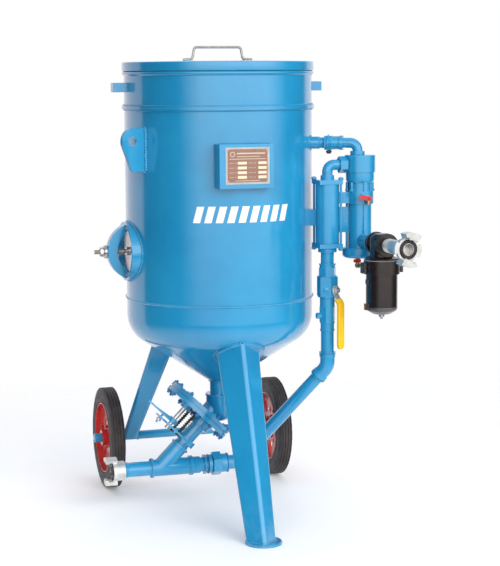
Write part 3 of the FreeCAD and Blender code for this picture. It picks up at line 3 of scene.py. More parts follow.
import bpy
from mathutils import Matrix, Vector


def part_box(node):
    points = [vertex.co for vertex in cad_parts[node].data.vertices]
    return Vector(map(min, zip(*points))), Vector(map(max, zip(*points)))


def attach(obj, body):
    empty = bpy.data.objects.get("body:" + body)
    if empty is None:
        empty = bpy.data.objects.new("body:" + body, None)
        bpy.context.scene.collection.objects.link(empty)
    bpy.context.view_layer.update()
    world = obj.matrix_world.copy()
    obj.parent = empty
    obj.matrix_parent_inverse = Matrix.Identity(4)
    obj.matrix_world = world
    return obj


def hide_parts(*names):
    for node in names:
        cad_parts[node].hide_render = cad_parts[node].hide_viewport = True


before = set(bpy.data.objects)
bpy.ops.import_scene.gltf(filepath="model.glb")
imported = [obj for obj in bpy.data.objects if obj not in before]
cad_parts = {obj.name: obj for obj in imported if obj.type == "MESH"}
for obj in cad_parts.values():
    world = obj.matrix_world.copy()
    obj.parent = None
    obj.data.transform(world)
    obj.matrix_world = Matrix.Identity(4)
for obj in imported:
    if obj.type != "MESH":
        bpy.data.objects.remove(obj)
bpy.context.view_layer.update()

import math
import random

import bmesh
import bpy
from mathutils import Matrix, Vector, noise
from mathutils.bvhtree import BVHTree

SEED = 11
MM = 0.001
NUT_CHAMFER = 0.14
BEVEL_ANGLE = 32.0
UP, EAST, NORTH = Vector((0, 0, 1)), Vector((1, 0, 0)), Vector((0, 1, 0))
AXIS = Vector(((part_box("top_head")[0].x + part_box("top_head")[1].x) / 2,
               (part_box("top_head")[0].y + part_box("top_head")[1].y) / 2, 0))


def V(x, y, z):
    """A point given in millimetres about the vessel's axis."""
    return AXIS + Vector((x, y, z)) * MM


def ray(angle, tilt=0.0):
    flat = math.cos(math.radians(tilt))
    return Vector((flat * math.cos(math.radians(angle)), flat * math.sin(math.radians(angle)),
                   math.sin(math.radians(tilt))))


# ---------------------------------------------------------------- materials

def new_material(name):
    mat = bpy.data.materials.new(name)
    mat.use_nodes = True
    tree = mat.node_tree
    return mat, tree, tree.nodes["Principled BSDF"]


class Weave:
    """Adds shader nodes and links them."""

    def __init__(self, tree):
        self.tree = tree
        self.place = self.add("ShaderNodeTexCoord").outputs["Object"]

    def add(self, kind, **settings):
        node = self.tree.nodes.new(kind)
        for name, value in settings.items():
            setattr(node, name, value)
        return node

    def plug(self, value, socket):
        if isinstance(value, bpy.types.NodeSocket):
            self.tree.links.new(value, socket)
        else:
            socket.default_value = value

    def noise(self, scale, detail=4.0, rough=0.55, stretch=None):
        node = self.add("ShaderNodeTexNoise")
        place = self.place
        if stretch:
            mapping = self.add("ShaderNodeMapping")
            self.plug(self.place, mapping.inputs["Vector"])
            mapping.inputs["Scale"].default_value = stretch
            place = mapping.outputs["Vector"]
        self.plug(place, node.inputs["Vector"])
        node.inputs["Scale"].default_value = scale
        node.inputs["Detail"].default_value = detail
        node.inputs["Roughness"].default_value = rough
        return node.outputs["Fac"]

    def cells(self, scale):
        node = self.add("ShaderNodeTexVoronoi")
        self.plug(self.place, node.inputs["Vector"])
        node.inputs["Scale"].default_value = scale
        return node.outputs["Distance"]

    def ramp(self, factor, low, high, first=0.0, last=1.0):
        node = self.add("ShaderNodeMapRange")
        for name, value in (("Value", factor), ("From Min", low), ("From Max", high), ("To Min", first),
                            ("To Max", last)):
            self.plug(value, node.inputs[name])
        return node.outputs["Result"]

    def math(self, operation, first, second=0.0):
        node = self.add("ShaderNodeMath", operation=operation)
        self.plug(first, node.inputs[0])
        self.plug(second, node.inputs[1])
        return node.outputs["Value"]

    def mix(self, factor, first, second):
        node = self.add("ShaderNodeMix", data_type="RGBA")
        self.plug(factor, node.inputs["Factor"])
        for index, colour in ((6, first), (7, second)):
            if not isinstance(colour, bpy.types.NodeSocket):
                colour = (*colour, 1.0)
            self.plug(colour, node.inputs[index])
        return node.outputs[2]

    def height(self):
        node = self.add("ShaderNodeSeparateXYZ")
        self.plug(self.place, node.inputs["Vector"])
        return node.outputs["Z"]

    def edges(self, radius):
        """How far the rounded normal leans from the face's own: a mask of worn edges."""
        bevel = self.add("ShaderNodeBevel", samples=4)
        bevel.inputs["Radius"].default_value = radius
        plain = self.add("ShaderNodeNewGeometry")
        dot = self.add("ShaderNodeVectorMath", operation="DOT_PRODUCT")
        self.plug(bevel.outputs["Normal"], dot.inputs[0])
        self.plug(plain.outputs["Normal"], dot.inputs[1])
        return self.ramp(dot.outputs["Value"], 0.985, 0.86)

    def bump(self, bsdf, *layers):
        normal = None
        for height, strength, distance in layers:
            node = self.add("ShaderNodeBump")
            node.inputs["Strength"].default_value = strength
            node.inputs["Distance"].default_value = distance
            self.plug(height, node.inputs["Height"])
            if normal:
                self.plug(normal, node.inputs["Normal"])
            normal = node.outputs["Normal"]
        self.plug(normal, bsdf.inputs["Normal"])


def paint(name, colour, deep, worn, rough=0.16, coat=0.5, dusty=True):
    """Sprayed enamel: orange peel, uneven tone, thinner paint on edges, dust low down."""
    mat, tree, bsdf = new_material(name)
    w = Weave(tree)
    tone = w.mix(w.ramp(w.noise(5.0, 3.0), 0.35, 0.65), deep, colour)
    tone = w.mix(w.math("MULTIPLY", w.ramp(w.noise(60.0, 6.0, 0.7), 0.6, 0.75), 0.12), tone, worn)
    patchy = w.ramp(w.noise(220.0, 3.0), 0.4, 0.62)
    tone = w.mix(w.math("MULTIPLY", w.math("MULTIPLY", w.edges(0.0016), patchy), 0.55), tone, worn)
    specks = w.ramp(w.noise(900.0, 2.0), 0.76, 0.79)
    tone = w.mix(w.math("MULTIPLY", specks, 0.35), tone, deep)
    if dusty:
        dust = w.math("MULTIPLY", w.ramp(w.height(), 0.16, 0.0), w.ramp(w.noise(40.0, 5.0), 0.4, 0.7))
        tone = w.mix(w.math("MULTIPLY", dust, 0.12), tone, (0.45, 0.42, 0.38))
    w.plug(tone, bsdf.inputs["Base Color"])
    w.plug(w.ramp(w.noise(18.0, 5.0, 0.6), 0.3, 0.7, rough * 0.8, rough * 1.5), bsdf.inputs["Roughness"])
    bsdf.inputs["Coat Weight"].default_value = coat
    bsdf.inputs["Coat Roughness"].default_value = 0.08
    w.bump(bsdf, (w.noise(420.0, 2.0), 0.12, 0.0004), (w.noise(14.0, 2.0), 0.18, 0.003))
    return mat


def metal(name, colour, dark, rough=0.3, grain=(1, 1, 1), bumpiness=0.12, metallic=1.0, scale=260.0):
    """Bare metal: fine grain, blotchy oxide, brighter rubbed edges."""
    mat, tree, bsdf = new_material(name)
    w = Weave(tree)
    tone = w.mix(w.ramp(w.noise(38.0, 6.0, 0.65), 0.34, 0.66), dark, colour)
    light = tuple(min(1.0, c * 1.35 + 0.05) for c in colour)
    tone = w.mix(w.math("MULTIPLY", w.edges(0.0012), 0.6), tone, light)
    w.plug(tone, bsdf.inputs["Base Color"])
    bsdf.inputs["Metallic"].default_value = metallic
    uneven = w.noise(scale, 4.0, 0.6, grain)
    w.plug(w.ramp(uneven, 0.3, 0.7, rough * 0.7, rough * 1.4), bsdf.inputs["Roughness"])
    w.bump(bsdf, (w.noise(scale * 2, 3.0, 0.6, grain), bumpiness, 0.0004), (w.noise(30.0, 3.0), 0.1, 0.001))
    return mat


def rubber(name, colour, pale, rough=0.55, tread=False):
    """Moulded rubber: dull bloom, fine pores, dust on the tread."""
    mat, tree, bsdf = new_material(name)
    w = Weave(tree)
    tone = w.mix(w.ramp(w.noise(24.0, 6.0, 0.65), 0.38, 0.72), colour, pale)
    tone = w.mix(w.math("MULTIPLY", w.edges(0.002), 0.35), tone, tuple(c * 1.6 + 0.01 for c in pale))
    if tread:
        dust = w.math("MULTIPLY", w.ramp(w.height(), 0.06, 0.0), w.ramp(w.noise(90.0, 5.0), 0.35, 0.65))
        tone = w.mix(w.math("MULTIPLY", dust, 0.5), tone, (0.2, 0.18, 0.16))
    w.plug(tone, bsdf.inputs["Base Color"])
    w.plug(w.ramp(w.noise(60.0, 4.0), 0.3, 0.7, rough * 0.85, rough * 1.2), bsdf.inputs["Roughness"])
    bsdf.inputs["Specular IOR Level"].default_value = 0.4
    w.bump(bsdf, (w.noise(1100.0, 2.0), 0.2, 0.0003), (w.cells(300.0), 0.08, 0.0004))
    return mat


BLUE = paint("blue_paint", (0.018, 0.285, 0.53), (0.013, 0.243, 0.475), (0.12, 0.42, 0.68), coat=0.8)
# a darker, duller copy of the blue paint: painted shade, used on the metering valve's bolts
BLUE_SHADED = paint("blue_paint_shaded", (0.02, 0.21, 0.47), (0.015, 0.16, 0.38), (0.1, 0.3, 0.5), rough=0.32,
                  coat=0.1)
RED = paint("red_paint", (0.6, 0.03, 0.025), (0.42, 0.015, 0.015), (0.75, 0.16, 0.12), rough=0.25)
YELLOW = paint("yellow_vinyl", (0.9, 0.56, 0.01), (0.84, 0.47, 0.005), (0.95, 0.72, 0.2), rough=0.34,
               coat=0.15)
BLACK = paint("black_paint", (0.02, 0.0095, 0.0065), (0.009, 0.005, 0.004), (0.09, 0.055, 0.045), rough=0.22,
              coat=0.35)
WHITE = paint("white_marking", (0.86, 0.87, 0.88), (0.78, 0.8, 0.82), (0.6, 0.7, 0.8), rough=0.3, coat=0.1)
BROWN = paint("plate_field", (0.3, 0.15, 0.11), (0.24, 0.12, 0.1), (0.45, 0.32, 0.28), rough=0.3, coat=0.1)
RULES = paint("plate_rules", (0.62, 0.5, 0.38), (0.55, 0.43, 0.32), (0.7, 0.6, 0.5), rough=0.35, coat=0.1)
GREY = paint("clamp_edge", (0.34, 0.33, 0.34), (0.26, 0.25, 0.26), (0.5, 0.5, 0.5), rough=0.3, coat=0.2)
SMOKE = paint("bowl_foot", (0.1, 0.095, 0.1), (0.06, 0.055, 0.06), (0.2, 0.2, 0.2), rough=0.2, coat=0.4)
CREAM = paint("plate_cells", (0.8, 0.68, 0.48), (0.72, 0.6, 0.42), (0.85, 0.78, 0.66), rough=0.35, coat=0.1)
TYRE = rubber("tyre", (0.023, 0.018, 0.018), (0.055, 0.045, 0.044), tread=True)
GASKET = rubber("gasket_rubber", (0.018, 0.013, 0.013), (0.05, 0.04, 0.04), rough=0.42)
STEEL = metal("steel", (0.62, 0.61, 0.6), (0.42, 0.41, 0.41), rough=0.26)
DARK_STEEL = metal("black_oxide", (0.12, 0.12, 0.11), (0.05, 0.05, 0.05), rough=0.4)
ZINC = metal("cast_zinc", (0.82, 0.81, 0.78), (0.64, 0.63, 0.6), rough=0.42, bumpiness=0.5, metallic=0.85,
             scale=170.0)
BRASS = metal("brass", (0.72, 0.5, 0.24), (0.5, 0.33, 0.14), rough=0.3)
BRASS_DULL = metal("stud_metal", (0.5, 0.42, 0.33), (0.34, 0.28, 0.22), rough=0.4)
ALUMINIUM = metal("plate_metal", (0.6, 0.58, 0.57), (0.48, 0.46, 0.45), rough=0.42, grain=(1, 1, 14))
HANDLE = metal("handle_metal", (0.56, 0.53, 0.48), (0.4, 0.37, 0.33), rough=0.34)
FELT = rubber("filter_felt", (0.66, 0.63, 0.55), (0.78, 0.75, 0.68), rough=0.9)


# ---------------------------------------------------------------- mesh helpers
# Points are in metres. Sizes given to lathe, disc, rib, hexagon, screw, weld and circle are in millimetres.

def mm(*points):
    """A profile given in millimetres, in metres."""
    return [tuple(value * MM for value in point) for point in points]


def polar(angle, size, height=0.0):
    return Vector((size * math.cos(angle), size * math.sin(angle), height))


def stitch(bm, first, second):
    """Faces between two rings of as many vertices."""
    count = len(first)
    for k in range(count):
        following = (k + 1) % count
        bm.faces.new([first[k], first[following], second[following], second[k]])


def link(name, bm, mat, body, replaces=(), sharp=38.0):
    """Makes a finished piece of a bmesh."""
    bmesh.ops.recalc_face_normals(bm, faces=bm.faces[:])
    mesh = bpy.data.meshes.new(name)
    bm.to_mesh(mesh)
    bm.free()
    mesh.polygons.foreach_set("use_smooth", [True] * len(mesh.polygons))
    mesh.set_sharp_from_angle(angle=math.radians(sharp))
    mesh.materials.append(mat)
    piece = bpy.data.objects.new(name, mesh)
    bpy.context.scene.collection.objects.link(piece)
    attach(piece, body)
    if replaces:
        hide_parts(*replaces)


def basis(axis, turn=0.0):
    """A rotation that takes Z to an axis, after a turn about it."""
    return axis.to_track_quat("Z", "Y").to_matrix().to_4x4() @ Matrix.Rotation(turn, 4, "Z")


def soften(points, radius, steps=4):
    """Rounds the corners of a profile; a point may carry its own radius as a third value."""
    out = []
    for index, point in enumerate(points):
        here = Vector(point[:2])
        size = point[2] if len(point) > 2 else radius
        if index in (0, len(points) - 1) or size <= 0:
            out.append(here)
            continue
        back, ahead = Vector(points[index - 1][:2]) - here, Vector(points[index + 1][:2]) - here
        half = 0.0
        if back.length >= 1e-9 and ahead.length >= 1e-9:
            half = math.acos(max(-1.0, min(1.0, back.normalized().dot(ahead.normalized())))) / 2
        if half < 0.05 or half > math.pi / 2 - 0.02:
            out.append(here)
            continue
        reach = min(size / math.tan(half), back.length * 0.48, ahead.length * 0.48)
        first, last = here + back.normalized() * reach, here + ahead.normalized() * reach
        for step in range(steps + 1):
            t = step / steps
            out.append(first * (1 - t) ** 2 + here * 2 * t * (1 - t) + last * t ** 2)
    return out


def lathe(bm, profile, at, axis, segments, radius, closed=True, ripple=None):
    """Turns a profile of (radius, height) points about an axis; radius rounds its plain corners."""
    profile = mm(*profile)
    points = soften(profile + ([profile[0]] if closed else []), radius * MM)
    if closed:
        points = points[:-1]
    turn = basis(axis)
    rings = []
    for spot in points:
        if spot.x < 1e-7:
            rings.append([bm.verts.new(at + turn @ Vector((0, 0, spot.y)))])
            continue
        row = []
        for step in range(segments):
            angle = 2 * math.pi * step / segments
            size = spot.x if ripple is None else ripple(spot, angle)
            row.append(bm.verts.new(at + turn @ polar(angle, size, spot.y)))
        rings.append(row)
    pairs = list(zip(rings, rings[1:])) + ([(rings[-1], rings[0])] if closed else [])
    for first, second in pairs:
        for step in range(segments):
            following = (step + 1) % segments
            corners = [first[step % len(first)], first[following % len(first)],
                       second[following % len(second)], second[step % len(second)]]
            unique = list(dict.fromkeys(corners))
            if len(unique) > 2:
                try:
                    bm.faces.new(unique)
                except ValueError:
                    pass


def disc(bm, radius, low, high, at, axis, edge, segments):
    """A short solid bar with rounded rims."""
    lathe(bm, ((0, low), (radius, low, edge), (radius, high, edge), (0, high)), at, axis, segments, edge,
          closed=False)


def rib(bm, inner, outer, low, high, at, axis, edge=1.0, corner=1.0, segments=72):
    """A raised band round a pipe, with rounded rims."""
    profile = ((inner, low), (outer, low, edge), (outer, high, edge), (inner, high))
    lathe(bm, profile, at, axis, segments, corner)


def hexagon(bm, corner, low, high, at, axis=UP, turn=0.0, bore=0.0, segments=72):
    """A hexagonal nut with its corners turned off at both ends."""
    corner, low, high, bore = (value * MM for value in (corner, low, high, bore))
    apothem = corner * math.cos(math.pi / 6)
    height = high - low
    rise = corner * NUT_CHAMFER
    layers = [0, rise * 0.4, rise, height - rise, height - rise * 0.4, height]
    spin = basis(axis, turn)
    rings = []
    for layer in layers:
        inset = max(0.0, 1 - min(layer, height - layer) / rise)
        limit = corner - (corner - apothem * 0.97) * inset
        row = []
        for step in range(segments):
            angle = 2 * math.pi * step / segments
            side = apothem / math.cos((angle + math.pi / 6) % (math.pi / 3) - math.pi / 6)
            row.append(bm.verts.new(at + spin @ polar(angle, min(side, limit), low + layer)))
        rings.append(row)
    for first, second in zip(rings, rings[1:]):
        stitch(bm, first, second)
    if bore > 0:
        walls = [[bm.verts.new(at + spin @ polar(2 * math.pi * step / segments, bore, place))
                  for step in range(segments)] for place in (low, high)]
        stitch(bm, rings[0], walls[0])
        stitch(bm, rings[-1], walls[1])
        stitch(bm, walls[0], walls[1])
    else:
        bm.faces.new(rings[0])
        bm.faces.new(rings[-1])


def screw(bm, radius, low, high, at, axis, pitch, depth, segments=28):
    """A threaded bar: a helical ridge on a cylinder, closed at both ends."""
    radius, low, high, pitch, depth = (value * MM for value in (radius, low, high, pitch, depth))
    spin = basis(axis)
    rows = max(4, int((high - low) / pitch * 5))
    rings = []
    for row in range(rows + 1):
        height = low + (high - low) * row / rows
        line = []
        for step in range(segments):
            phase = (height / pitch - step / segments) % 1.0
            ridge = abs(phase - 0.5) * 2
            end = min(1.0, min(row, rows - row) / 3)
            size = radius - depth * (1 - ridge * end)
            line.append(bm.verts.new(at + spin @ polar(2 * math.pi * step / segments, size, height)))
        rings.append(line)
    for first, second in zip(rings, rings[1:]):
        stitch(bm, first, second)
    bm.faces.new(rings[0])
    bm.faces.new(rings[-1])


def bar(bm, points, radius, sides=20, closed=False, swell=None):
    """A round bar through points; swell(index) scales its radius."""
    count = len(points)
    rings = []
    previous = None
    for index, point in enumerate(points):
        before = points[index - 1] if index or closed else point
        after = points[(index + 1) % count] if index < count - 1 or closed else point
        heading = (after - before).normalized()
        if previous is None:
            side = heading.orthogonal().normalized()
        else:
            side = (previous - heading * previous.dot(heading)).normalized()
        previous = side
        other = heading.cross(side)
        size = radius * (swell(index) if swell else 1.0)
        rings.append([bm.verts.new(point + side * size * math.cos(2 * math.pi * k / sides)
                                   + other * size * math.sin(2 * math.pi * k / sides))
                      for k in range(sides)])
    pairs = list(zip(rings, rings[1:]))
    if closed:
        offset = min(range(sides), key=lambda k: (rings[-1][0].co - rings[0][k].co).length)
        pairs.append((rings[-1], rings[0][offset:] + rings[0][:offset]))
    for first, second in pairs:
        stitch(bm, first, second)
    if not closed:
        bm.faces.new(rings[0])
        bm.faces.new(rings[-1])


def resample(points, step, closed=False):
    """Even points along a polyline."""
    path = list(points) + ([points[0]] if closed else [])
    lengths = [0.0]
    for first, second in zip(path, path[1:]):
        lengths.append(lengths[-1] + (second - first).length)
    count = max(3, int(lengths[-1] / step))
    out = []
    index = 0
    for k in range(count if closed else count + 1):
        target = lengths[-1] * k / count
        while index < len(path) - 2 and lengths[index + 1] < target:
            index += 1
        span = max(lengths[index + 1] - lengths[index], 1e-9)
        out.append(path[index].lerp(path[index + 1], (target - lengths[index]) / span))
    return out


def weld(bm, points, radius, closed, pitch, lumpy, seed):
    """A weld bead: overlapping ripples of slightly uneven size along a path."""
    radius, pitch = radius * MM, pitch * MM
    fine = resample(points, pitch / 4, closed)
    draw = random.Random(SEED + seed)
    phases = [draw.uniform(0.8, 1.2) for _ in range(len(fine) // 4 + 2)]

    def swell(index):
        ripple = 0.5 + 0.5 * math.cos(2 * math.pi * index / 4)
        return (0.86 + lumpy * ripple) * phases[index // 4]

    def wobble(point):
        spot = point * 90 + Vector((seed, 0, 0))
        return Vector([noise.noise(spot + shift) for shift in (Vector(), EAST * 9.3, NORTH * 7.1)])

    moved = [point + wobble(point) * radius * 0.22 for point in fine]
    bar(bm, moved, radius, 10, closed, swell)


def circle(radius, at, axis=UP, steps=360, start=0.0, sweep=360.0):
    """Points on a circle or an arc, angles in degrees."""
    spin = basis(axis)
    whole = sweep == 360.0
    return [at + spin @ polar(math.radians(start + sweep * k / steps), radius * MM)
            for k in range(steps if whole else steps + 1)]


def plate(bm, corners, low, high, spin, at, edge=0.0008, segments=3):
    """A flat plate of a given outline (2D corners in metres), its rims rounded."""
    first = [bm.verts.new(Vector((x, y, low))) for x, y in corners]
    second = [bm.verts.new(Vector((x, y, high))) for x, y in corners]
    count = len(corners)
    faces = [bm.faces.new(first), bm.faces.new(second)]
    for k in range(count):
        following = (k + 1) % count
        faces.append(bm.faces.new([first[k], first[following], second[following], second[k]]))
    rims = [e for e in dict.fromkeys(e for face in faces for e in face.edges)
            if len(e.link_faces) == 2 and (e.link_faces[0] in faces[:2]) != (e.link_faces[1] in faces[:2])]
    made = faces
    if edge > 0:
        result = bmesh.ops.bevel(bm, geom=rims, offset=edge, segments=segments, affect="EDGES", profile=0.5)
        made = [f for f in dict.fromkeys([*faces, *result["faces"]]) if f.is_valid]
    for vert in dict.fromkeys(v for face in made for v in face.verts):
        vert.co = at + spin @ vert.co


def rounded_outline(half_x, half_y, radius, steps=6, centre=(0.0, 0.0)):
    """The corners of a rectangle with round corners."""
    points = []
    for quarter, (sx, sy) in enumerate(((1, 1), (-1, 1), (-1, -1), (1, -1))):
        for k in range(steps + 1):
            angle = math.pi / 2 * (quarter + k / steps)
            points.append((centre[0] + sx * (half_x - radius) + radius * math.cos(angle),
                           centre[1] + sy * (half_y - radius) + radius * math.sin(angle)))
    return points


def keep(node, mat, bevel):
    """A CAD node that stays as it is, with rounded edges and a better material."""
    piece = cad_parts[node]
    piece.data.materials.clear()
    piece.data.materials.append(mat)
    if bevel:
        joined = piece.modifiers.new("weld", "WELD")
        joined.merge_threshold = 0.00002
        edges = piece.modifiers.new("bevel", "BEVEL")
        edges.width = bevel
        edges.segments = 2
        edges.limit_method = "ANGLE"
        edges.angle_limit = math.radians(BEVEL_ANGLE)
        edges.use_clamp_overlap = True
        even = piece.modifiers.new("normals", "WEIGHTED_NORMAL")
        even.keep_sharp = False
        even.weight = 70


# ---------------------------------------------------------------- nodes that stay as the CAD has them

KEPT = [
    (BLUE, 0.0008, "air_pipe air_elbow link_elbow pusher_pipe blast_wye choke_body valve_cap valve_barrel"
                   " meter_upper meter_lower blast_union"),
    (BLUE, 0.0010, "lifting_lugs grab_handles plate_bracket handhole_neck handhole_yoke line_barrel"
                   " line_frame valve_bracket meter_lever axle"),
    (BLUE, 0.0, "bottom_head top_head vessel_shell fill_collar lid front_leg rear_leg_left rear_leg_right"),
    (RED, 0.0008, "rim_left rim_right bleed_lever drain_lever"),
    (BLACK, 0.0010, "filter_head filter_clamp filter_bowl"),
    (TYRE, 0.0, "tyre_left tyre_right"),
    (GASKET, 0.0008, "fill_seal handhole_gasket outlet_gasket inlet_gasket popup_plug"),
    (STEEL, 0.0006, "handhole_cover handhole_nut choke_ball lid_handle valve_piston line_piston meter_blade"
                    " meter_knob filter_drain"),
    (DARK_STEEL, 0.0005, "meter_bolts meter_springs"),
    (ZINC, 0.0012, "outlet_coupling inlet_coupling"),
    (BRASS, 0.0006, "mini_valves"),
    (ALUMINIUM, 0.0004, "data_plate"),
    (FELT, 0.0, "filter_element"),
]

for mat, edge, names in KEPT:
    for node_name in names.split():
        keep(node_name, mat, edge)


# ---------------------------------------------------------------- places and surfaces

# directions, in degrees from east, and places about the vessel's axis, in millimetres
VALVE = (406, -229)
LINE = (295, -229)
NOZZLE = math.degrees(math.atan2(VALVE[1], VALVE[0]))
INLET = -84.0
WALL = 305.6
CAP_TOP = 1176.5
AIR_LINE = 1214.5
PORT = 902
HANDHOLE = 870
CHOKE = 747
BLAST = 146
BRANCH_FOOT = -210
WHEEL = (300, 376, 175)
FRONT_FOOT = (-9, -468, 8)
REAR_TOP = (118, 188, 600)
SLOPE = Vector((1, 0, 1)).normalized()

TREES = {}


def hit(node, start, way):
    """Where a ray from a point first meets a CAD node."""
    if node not in TREES:
        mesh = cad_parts[node].data
        TREES[node] = BVHTree.FromPolygons([v.co for v in mesh.vertices], [p.vertices for p in mesh.polygons])
    return TREES[node].ray_cast(start, way)[0]


def branch(x, y, z):
    """A point of the metering valve's own frame, in millimetres along the sloping branch."""
    share = math.sqrt(0.5)
    return V(BRANCH_FOOT + share * (x + z), y, BLAST + share * (z - x))


def square_section(place, side, turn, bend=13.0, steps=5):
    """Points round a square bar's section with round corners, in millimetres."""
    points = []
    for quarter in range(4):
        corner = ray(turn + 90 * quarter) * (side / math.sqrt(2))
        middle = corner * ((side / 2 - bend) / (side / 2))
        for step in range(steps + 1):
            angle = turn + 90 * quarter - 45 + 90 * step / steps
            points.append(Vector(place) + middle + ray(angle) * bend)
    return points


# ---------------------------------------------------------------- welds

def welds():
    """Beads where the sheets, pads, legs, lugs and fittings are joined."""
    def beads(name, bm):
        link(name, bm, BLUE, "pot", sharp=80)

    def seam(name, points, size, closed=False, pitch=6.0, lumpy=0.22, seed=0):
        bm = bmesh.new()
        weld(bm, points, size, closed, pitch, lumpy, seed)
        beads(name, bm)

    seam("weld_bottom_seam", circle(306.3, V(0, 0, 714)), 3.0, True, 5.0, 0.2, 1)
    seam("weld_girth_low", circle(306.0, V(0, 0, 1323.5)), 2.6, True, 5.0, 0.2, 2)
    seam("weld_girth_high", circle(306.0, V(0, 0, 1338.5)), 2.4, True, 5.0, 0.2, 3)
    seam("weld_shell_length", [V(305.2 * ray(96).x, 305.2 * ray(96).y, z) for z in range(718, 1322, 4)], 2.6,
         seed=4)

    bm = bmesh.new()
    for index, turn in enumerate((-155.5, 24.5)):
        side = ray(turn + 90)
        for way in (-1, 1):
            line = [V(*(ray(turn) * 306.5 + side * way * 8.0 + UP * z)) for z in range(1136, 1269, 3)]
            weld(bm, line, 4.6, False, 8.5, 0.5, 5 + index * 2 + way)
        for z in (1132.5, 1270.5):
            weld(bm, [V(*(ray(turn) * 306.5 + side * y + UP * z)) for y in range(-7, 8, 2)], 3.2, False,
                 6, 0.3, int(z))
    beads("weld_lugs", bm)

    bm = bmesh.new()
    for x in (-97.3, 79.3):
        y = -math.sqrt(WALL ** 2 - x * x)
        weld(bm, [V(x, y, z) for z in range(1088, 1223, 3)], 2.2, False, 5, 0.25, int(x))
    beads("weld_plate_bracket", bm)

    bm = bmesh.new()
    rear = math.degrees(math.atan2(REAR_TOP[1], REAR_TOP[0]))
    for seed, turn in enumerate((-90.0, rear, 180 - rear)):
        centre = hit("bottom_head", V(*(ray(turn) * 225 + UP * 300)), UP)
        outward = ray(turn, -(90 - 33))
        spin = basis(outward)
        rim = [centre + spin @ polar(math.radians(a), 81.5 * MM, 0.1) for a in range(0, 360, 5)]
        loop = [hit("bottom_head", start, -outward) for start in rim]
        if all(loop):
            weld(bm, loop, 2.8, True, 6, 0.25, 20 + seed)
    beads("weld_leg_pads", bm)

    bm = bmesh.new()
    posts = [(FRONT_FOOT, 74, (FRONT_FOOT[0], -220, 600), 107, -90.0),
             ((-225, 376, 172), 52, (-REAR_TOP[0], *REAR_TOP[1:]), 84, 120.0),
             ((225, 376, 172), 52, REAR_TOP, 84, 60.0)]
    for seed, (low, low_side, high, high_side, turn) in enumerate(posts):
        feet = square_section(low, low_side, turn)
        tops = square_section(high, high_side, turn)
        loop = [hit("bottom_head", V(*foot), (top - foot).normalized()) for foot, top in zip(feet, tops)]
        if all(loop):
            weld(bm, loop, 3.4, True, 6, 0.28, 30 + seed)
    foot_joint = [V(*(p + UP * 1.2)) for p in square_section(FRONT_FOOT, 75.5, -90.0)]
    weld(bm, foot_joint, 3.2, True, 6, 0.25, 35)
    for way in (-1, 1):
        for x in (225 - 28.5, 225 + 28.5):
            weld(bm, circle(16.0, V(x * way, 376, 175), EAST, 60, -90, 180), 2.4, False,
                 5, 0.25, int(x) + way)
    beads("weld_legs", bm)

    def on_shell(angle, half_side, half_up, centre_z):
        """A loop on the vessel's wall round a fitting that points along an angle."""
        loop = []
        for step in range(72):
            turn = 2 * math.pi * step / 72
            across = half_side * math.cos(turn)
            reach = math.sqrt(WALL ** 2 - across ** 2)
            loop.append(V(*(ray(angle) * reach + ray(angle + 90) * across
                            + UP * (centre_z + half_up * math.sin(turn)))))
        return loop

    seam("weld_handhole", on_shell(180, 111.5, 96.5, HANDHOLE), 3.2, True, 6.0, 0.28, 41)
    seam("weld_air_boss", on_shell(NOZZLE, 21.5, 21.5, AIR_LINE), 2.6, True, 5.0, 0.3, 42)
    neck = [hit("bottom_head", V(*polar(k * math.pi / 24, 36.8, 300)), UP) for k in range(48)]
    if all(neck):
        seam("weld_outlet", neck, 2.8, True, 5.0, 0.25, 43)
    bm = bmesh.new()
    for way in (-1, 1):
        for side in (-1, 1):
            y = 20.6 * side
            x = math.sqrt(WALL ** 2 - y * y) * way
            weld(bm, [V(x, y, z) for z in range(1381, 1411, 3)], 2.2, False, 5, 0.25, 50 + side + way * 2)
    beads("weld_grab_handles", bm)


# ---------------------------------------------------------------- lid

def lid_set():
    bm = bmesh.new()
    lathe(bm, ((0, 1477.4), (150, 1476.0), (305, 1470.6), (308.5, 1469.0), (308.5, 1451.0), (308.5, 1446.9),
               (311, 1446.9), (311, 1473.9), (307.5, 1475.4), (150, 1478.6), (0, 1479.9)), AXIS, UP, 256,
          1.6, closed=False)
    lathe(bm, ((295, 1428.9), (292.5, 1428.9), (292.5, 1470.0), (295, 1470.0)), AXIS, UP, 192, 0.5)
    link("lid_pan", bm, BLUE, "lid", ("lid",), sharp=40)

    rise, foot, half = 1521.9, 1483.2, 78
    path = [(-117, foot - 0.6), (-108, foot), (-half - 7, foot, 10), (-half, rise, 10), (half, rise, 10),
            (half + 7, foot, 10), (108, foot), (117, foot - 0.6)]
    flat = soften([tuple(c * MM for c in p) for p in path], 3 * MM, 7)
    points = [AXIS + Vector((p.x, 0, p.y)) for p in flat]
    fine = resample(points, 3 * MM)
    bm = bmesh.new()
    bar(bm, fine, 4 * MM, 20, swell=lambda k: 0.8 + 0.2 * min(1.0, min(k, len(fine) - 1 - k) / 4))
    link("lid_handle_rod", bm, HANDLE, "lid", ("lid_handle",), sharp=60)
    bm = bmesh.new()
    for way in (-1, 1):
        for side in (-1, 1):
            weld(bm, [V((92 + k * 3) * way, 3.4 * side, 1479.6) for k in range(8)], 1.8, False, 4, 0.4,
                 60 + way + side * 2)
    link("weld_lid_handle", bm, BLUE, "lid", sharp=80)


# ---------------------------------------------------------------- wheels

